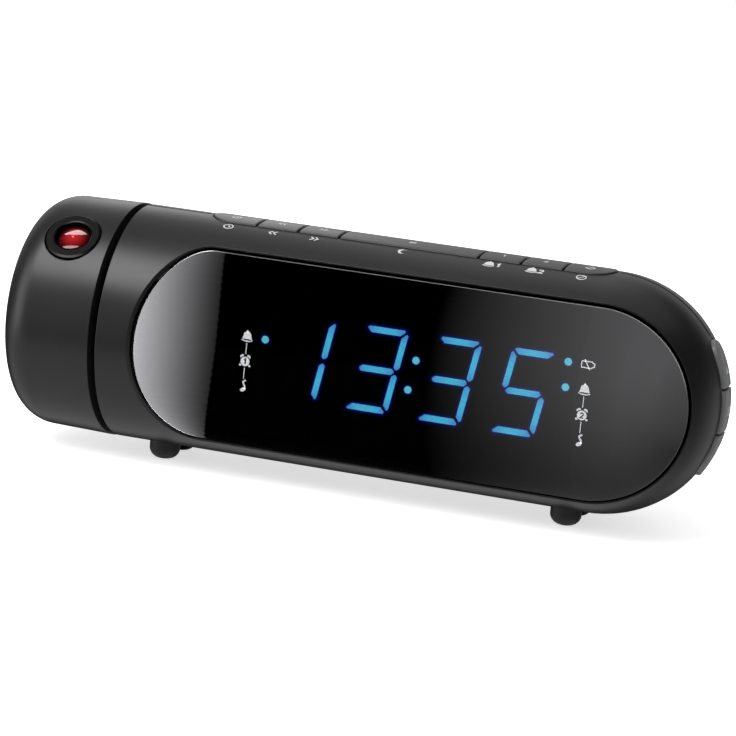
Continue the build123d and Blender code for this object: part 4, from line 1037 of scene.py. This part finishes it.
class CLOCK_OT_studio(bpy.types.Operator):
    """Set the floor, the surroundings, the lamps and the camera"""
    bl_idname = "clock.studio"
    bl_label = "Studio"

    def surroundings(self, context):
        """White for the camera, a plain soft studio for the object: pale behind and dark in front."""
        world = bpy.data.worlds.new("Studio surroundings")
        context.scene.world = world
        world.use_nodes = True
        tree = world.node_tree
        tree.nodes.clear()
        ray = node(tree, "ShaderNodeLightPath").outputs
        where = node(tree, "ShaderNodeTexCoord").outputs["Generated"]
        axes = node(tree, "ShaderNodeSeparateXYZ", {"Vector": where}).outputs
        smooth = {"interpolation_type": "SMOOTHSTEP"}
        behind = node(tree, "ShaderNodeMapRange", {
            "Value": axes["Y"], "From Min": 0.15, "From Max": 0.95, "To Min": 0.0, "To Max": 0.62}, **smooth)
        # Behind and above it is pale on the left only, behind and below on the right only. Straight behind, it
        # is pale everywhere.
        upper = node(tree, "ShaderNodeMapRange", {
            "Value": axes["Z"], "From Min": -0.15, "From Max": 0.2}, **smooth)
        grazed = node(tree, "ShaderNodeMapRange", {
            "Value": axes["Y"], "From Min": 0.82, "From Max": 0.95, "To Min": 0.03, "To Max": 1.0}, **smooth)
        pale_left = node(tree, "ShaderNodeMapRange", {
            "Value": axes["X"], "From Min": -0.25, "From Max": 0.3, "To Min": 0.9, "To Max": grazed}, **smooth)
        pale_right = node(tree, "ShaderNodeMapRange", {
            "Value": axes["X"], "From Min": 0.0, "From Max": 0.45, "To Min": 0.06, "To Max": 0.95}, **smooth)
        side = node(tree, "ShaderNodeMix", {"Factor": upper, "A": pale_right, "B": pale_left})
        mirrored = node(tree, "ShaderNodeMath", {0: behind, 1: side}, operation="MULTIPLY")
        soft_light = 0.24
        shown = node(tree, "ShaderNodeMix", {"Factor": ray["Is Glossy Ray"], "A": soft_light, "B": mirrored})
        level = node(tree, "ShaderNodeMix", {"Factor": ray["Is Camera Ray"], "A": shown, "B": 1.0})
        background = node(tree, "ShaderNodeBackground", {"Color": (1, 1, 1, 1), "Strength": level})
        node(tree, "ShaderNodeOutputWorld", {"Surface": background})

    def stage_piece(self, name, mesh, material):
        """An object of the studio, which isn't part of the clock."""
        piece = bpy.data.objects.new(name, mesh)
        bpy.context.scene.collection.objects.link(piece)
        mesh.materials.append(material)
        return piece

    def floor(self):
        """A pale floor that keeps the object's shadow. For the camera it also glows white, less near the clock, a
        painted shade round it.
        """
        size = 1.6
        corners = [(-size, -size, 0), (size, -size, 0), (size, size, 0), (-size, size, 0)]
        material, tree = begin_material("Matt white paper")
        where = node(tree, "ShaderNodeTexCoord").outputs["Object"]
        paper = node(tree, "ShaderNodeBsdfDiffuse", {"Color": paint("F2F2F2")})
        far = node(tree, "ShaderNodeVectorMath", {0: where}, operation="LENGTH")
        # Painted shade: the glow that the camera sees is weakest within 0.06 m of the origin and full beyond 0.16
        # m, so the floor darkens round the clock.
        level = node(tree, "ShaderNodeMapRange", {
            "Value": far, "From Min": 0.06, "From Max": 0.16, "To Min": 0.66, "To Max": 1.0})
        glow = node(tree, "ShaderNodeEmission", {"Color": (1, 1, 1, 1), "Strength": level})
        pale = node(tree, "ShaderNodeAddShader", {0: paper, 1: glow})
        seen = node(tree, "ShaderNodeLightPath").outputs["Is Camera Ray"]
        shown = node(tree, "ShaderNodeMixShader", {"Fac": seen, 1: paper, 2: pale})
        node(tree, "ShaderNodeOutputMaterial", {"Surface": shown})
        mesh = mesh_of("studio_floor", corners, [[0, 1, 2, 3]])
        self.stage_piece("studio_floor", mesh, material).visible_glossy = False

    def mirrored_piece(self, name, mesh, material, tint, strength, mirror):
        """A see-through light that only one piece of the clock mirrors. Its strength may come from the
        material's own nodes."""
        tree = material.node_tree
        glow = node(tree, "ShaderNodeEmission", {"Color": tint, "Strength": strength})
        clear = node(tree, "ShaderNodeBsdfTransparent", {"Color": (1, 1, 1, 1)})
        cloth = node(tree, "ShaderNodeAddShader", {0: glow, 1: clear})
        node(tree, "ShaderNodeOutputMaterial", {"Surface": cloth})
        piece = self.stage_piece(name, mesh, material)
        for ray in ("camera", "diffuse", "transmission", "shadow"):
            setattr(piece, "visible_" + ray, False)
        piece.light_linking.receiver_collection = bpy.data.collections.new(name + "_mirror")
        piece.light_linking.receiver_collection.objects.link(mirror)

    def tent(self):
        """A translucent tent that only the polished window mirrors: a bright card with a sharp edge on the
        left, nothing in the middle, and soft grey towards the right."""
        radius = 0.6
        left = -0.5
        right = 0.9
        count = 48
        turns = [math.tau * i / count for i in range(count)]
        points = [(x, radius * math.cos(turn), AXIS_Z + radius * math.sin(turn))
                  for x in (left, right) for turn in turns]
        right_end = list(range(count, 2 * count))
        mesh = mesh_of("studio_tent", points, bands(count, (0, count)) + [right_end])
        material, tree = begin_material("Translucent tent")
        where = node(tree, "ShaderNodeTexCoord").outputs["Object"]
        axes = node(tree, "ShaderNodeSeparateXYZ", {"Vector": where}).outputs
        # The card's edge leans a little, and the card is brighter the further it is from that edge.
        card_left = -0.2780
        card_right = -0.2325
        across = node(tree, "ShaderNodeMath", {
            0: axes["Y"], 1: 0.0117, 2: axes["X"]}, operation="MULTIPLY_ADD")
        card = node(tree, "ShaderNodeMapRange", {
            "Value": across, "From Min": card_left, "From Max": card_right, "To Min": 4.08, "To Max": 0.68})
        squared = node(tree, "ShaderNodeMath", {0: card, 1: 2.0}, operation="POWER")
        edge = node(tree, "ShaderNodeMapRange", {
            "Value": across, "From Min": card_right - 0.0005, "From Max": card_right + 0.0003, "To Min": 1.0,
            "To Max": 0.0})
        bright = node(tree, "ShaderNodeMath", {0: squared, 1: edge}, operation="MULTIPLY")
        # The grey starts fast and goes on slowly. It is lighter high up and towards the front.
        rise = node(tree, "ShaderNodeMapRange", {
            "Value": axes["X"], "From Min": -0.1255, "From Max": -0.0524, "To Min": 0.0, "To Max": 0.84})
        slow = node(tree, "ShaderNodeMapRange", {
            "Value": axes["X"], "From Min": -0.05, "From Max": 0.35, "To Min": 0.0, "To Max": 0.26})
        eased = node(tree, "ShaderNodeMath", {0: rise, 1: slow}, operation="ADD")
        upward = node(tree, "ShaderNodeMath", {0: axes["Z"], 1: 1.1, 2: 1.14}, operation="MULTIPLY_ADD")
        forward = node(tree, "ShaderNodeMath", {0: axes["Y"], 1: -0.80, 2: upward}, operation="MULTIPLY_ADD")
        grey = node(tree, "ShaderNodeMath", {0: eased, 1: forward}, operation="MULTIPLY")
        # A strip above and behind shows only in the bevel of the window's upper edge.
        above = node(tree, "ShaderNodeMapRange", {
            "Value": axes["Z"], "From Min": 0.1, "From Max": 0.3, "To Min": 0.0, "To Max": 2.5})
        behind = node(tree, "ShaderNodeMapRange", {
            "Value": axes["Y"], "From Min": 0.14, "From Max": 0.20, "To Min": 0.0, "To Max": 1.0})
        strip = node(tree, "ShaderNodeMath", {0: above, 1: behind}, operation="MULTIPLY")
        both = node(tree, "ShaderNodeMath", {0: bright, 1: grey}, operation="ADD")
        level = node(tree, "ShaderNodeMath", {0: both, 1: strip}, operation="ADD")
        self.mirrored_piece("studio_tent", mesh, material, paint("F8F7FB"), level,
                            bpy.data.objects["smoked_window"])

    def card(self, name, elevation, shape, strength, mirror):
        """A white card that only one piece mirrors, square to an elevation from the front. Its shape goes
        right and up, in metres."""
        away = 0.5
        low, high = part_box("projector_lens")
        turn = math.radians(elevation)
        out = Vector((0, -math.cos(turn), math.sin(turn)))
        up = Vector((0, out.z, -out.y))
        points = [(low + high) / 2 + out * away + Vector((x, 0, 0)) + up * z for x, z in shape]
        mesh = mesh_of(name, points, [list(range(len(points)))])
        material = begin_material("White card")[0]
        self.mirrored_piece(name, mesh, material, paint("F8F2F4"), strength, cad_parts[mirror])

    def cards(self):
        """Two cards for the lens, as a softbox and a window, and one for the edge of its ring."""
        high = [(-0.521, 0.072), (-0.459, -0.040), (-0.216, -0.164), (-0.130, -0.160), (-0.031, -0.126),
                (0.082, 0.018), (0.051, 0.086), (-0.006, 0.107), (-0.079, 0.114), (-0.167, 0.099),
                (-0.260, 0.071), (-0.363, 0.035)]
        low = [(-0.562, -0.011), (-0.336, -0.092), (-0.135, -0.094), (0.014, -0.041), (0.091, 0.034),
               (-0.079, 0.005), (-0.310, -0.004)]
        front = [(-0.55, -0.12), (0.50, -0.12), (0.50, 0.08), (-0.55, 0.08)]
        self.card("studio_card_high", 112, high, 4.2, "projector_lens")
        self.card("studio_card_low", 48, low, 4.6, "projector_lens")
        self.card("studio_card_front", -4, front, 20.0, "lens_ring")

    def lamps(self, studio):
        """Area lamps that light all but the polished window and the lens, and aren't mirrored by them."""
        lit = bpy.data.collections.new("All but the window and the lens")
        lit.objects.link(bpy.data.objects["smoked_window"])
        lit.objects.link(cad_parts["projector_lens"])
        for link in lit.collection_objects:
            link.light_linking.link_state = "EXCLUDE"
        centre = (0, 0, AXIS_Z)
        for name, where, aim, width, height, power in (
                ("Softbox", (-0.42, -0.53, 0.87), centre, 0.8, 0.55, studio.softbox),
                ("Side fill", (-0.50, -1.10, 0.20), centre, 1.0, 0.8, studio.side),
                ("Fill", (0.1, 0.3, 1.2), centre, 1.4, 1.4, studio.fill),
                ("Back light", (-0.32, 0.6, 0.30), centre, 0.25, 0.3, studio.back),
                ("Left light", (-0.95, -0.45, 0.25), centre, 0.5, 0.9, studio.left),
                ("Floor bounce", (-0.08, -0.054, 0.0005), (-0.08, -0.054, 1), 0.66, 0.092, studio.bounce)):
            data = bpy.data.lights.new(name, "AREA")
            data.shape = "RECTANGLE"
            data.size = width
            data.size_y = height
            data.energy = power
            lamp = bpy.data.objects.new(name, data)
            lamp.location = where
            lamp.rotation_mode = "QUATERNION"
            lamp.rotation_quaternion = (Vector(aim) - Vector(where)).to_track_quat("-Z", "Y")
            lamp.visible_camera = False
            lamp.light_linking.receiver_collection = lit
            bpy.context.scene.collection.objects.link(lamp)

    def camera(self, context, studio):
        """A long lens, a little above the front and to its right."""
        back = Vector((math.sin(studio.yaw) * math.cos(studio.pitch),
                       -math.cos(studio.yaw) * math.cos(studio.pitch), math.sin(studio.pitch)))
        level = Vector((math.cos(studio.yaw), math.sin(studio.yaw), 0))
        upright = back.cross(level)
        right = level * math.cos(studio.roll) + upright * math.sin(studio.roll)
        up = upright * math.cos(studio.roll) - level * math.sin(studio.roll)
        data = bpy.data.cameras.new("Camera")
        data.sensor_width = 36
        data.lens = studio.lens
        data.clip_start = 0.01
        camera = bpy.data.objects.new("Camera", data)
        target = Vector((SEAM_X + studio.target_x, 0, studio.target_z))
        camera.matrix_world = Matrix.Translation(target + back * studio.distance) @ Matrix(
            (right, up, back)).transposed().to_4x4()
        context.scene.collection.objects.link(camera)
        context.scene.camera = camera

    def execute(self, context):
        studio = context.scene.clock_studio
        self.surroundings(context)
        self.floor()
        self.tent()
        self.lamps(studio)
        self.cards()
        self.camera(context, studio)
        context.scene.view_settings.view_transform = "Standard"
        return {"FINISHED"}


OPERATORS = [CLOCK_OT_housing, CLOCK_OT_inside, CLOCK_OT_window, CLOCK_OT_digits, CLOCK_OT_icons,
             CLOCK_OT_marks, CLOCK_OT_parting, CLOCK_OT_projector, CLOCK_OT_grille, CLOCK_OT_studio]


class CLOCK_PT_panel(bpy.types.Panel):
    """Lists the clock's pieces and sizes"""
    bl_idname = "CLOCK_PT_panel"
    bl_label = "Projection alarm clock"
    bl_space_type = "VIEW_3D"
    bl_region_type = "UI"
    bl_category = "Clock"

    def draw(self, context):
        for operator in OPERATORS:
            self.layout.operator(operator.bl_idname)
        for group in GROUPS:
            box = self.layout.box()
            for name in GROUPS[group].__annotations__:
                box.prop(getattr(context.scene, group), name)


CLASSES = [*GROUPS.values(), *OPERATORS, CLOCK_PT_panel]


def register():
    for kind in CLASSES:
        bpy.utils.register_class(kind)
    for name, group in GROUPS.items():
        setattr(bpy.types.Scene, name, PointerProperty(type=group))


def unregister():
    for name in GROUPS:
        delattr(bpy.types.Scene, name)
    for kind in reversed(CLASSES):
        bpy.utils.unregister_class(kind)


def main():
    """Build every piece."""
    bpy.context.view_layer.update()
    register()
    bpy.ops.clock.housing()
    bpy.ops.clock.inside()
    bpy.ops.clock.window()
    bpy.ops.clock.digits()
    bpy.ops.clock.icons()
    bpy.ops.clock.marks()
    bpy.ops.clock.parting()
    bpy.ops.clock.projector()
    bpy.ops.clock.grille()
    bpy.ops.clock.studio()


if __name__ == "__main__":
    main()
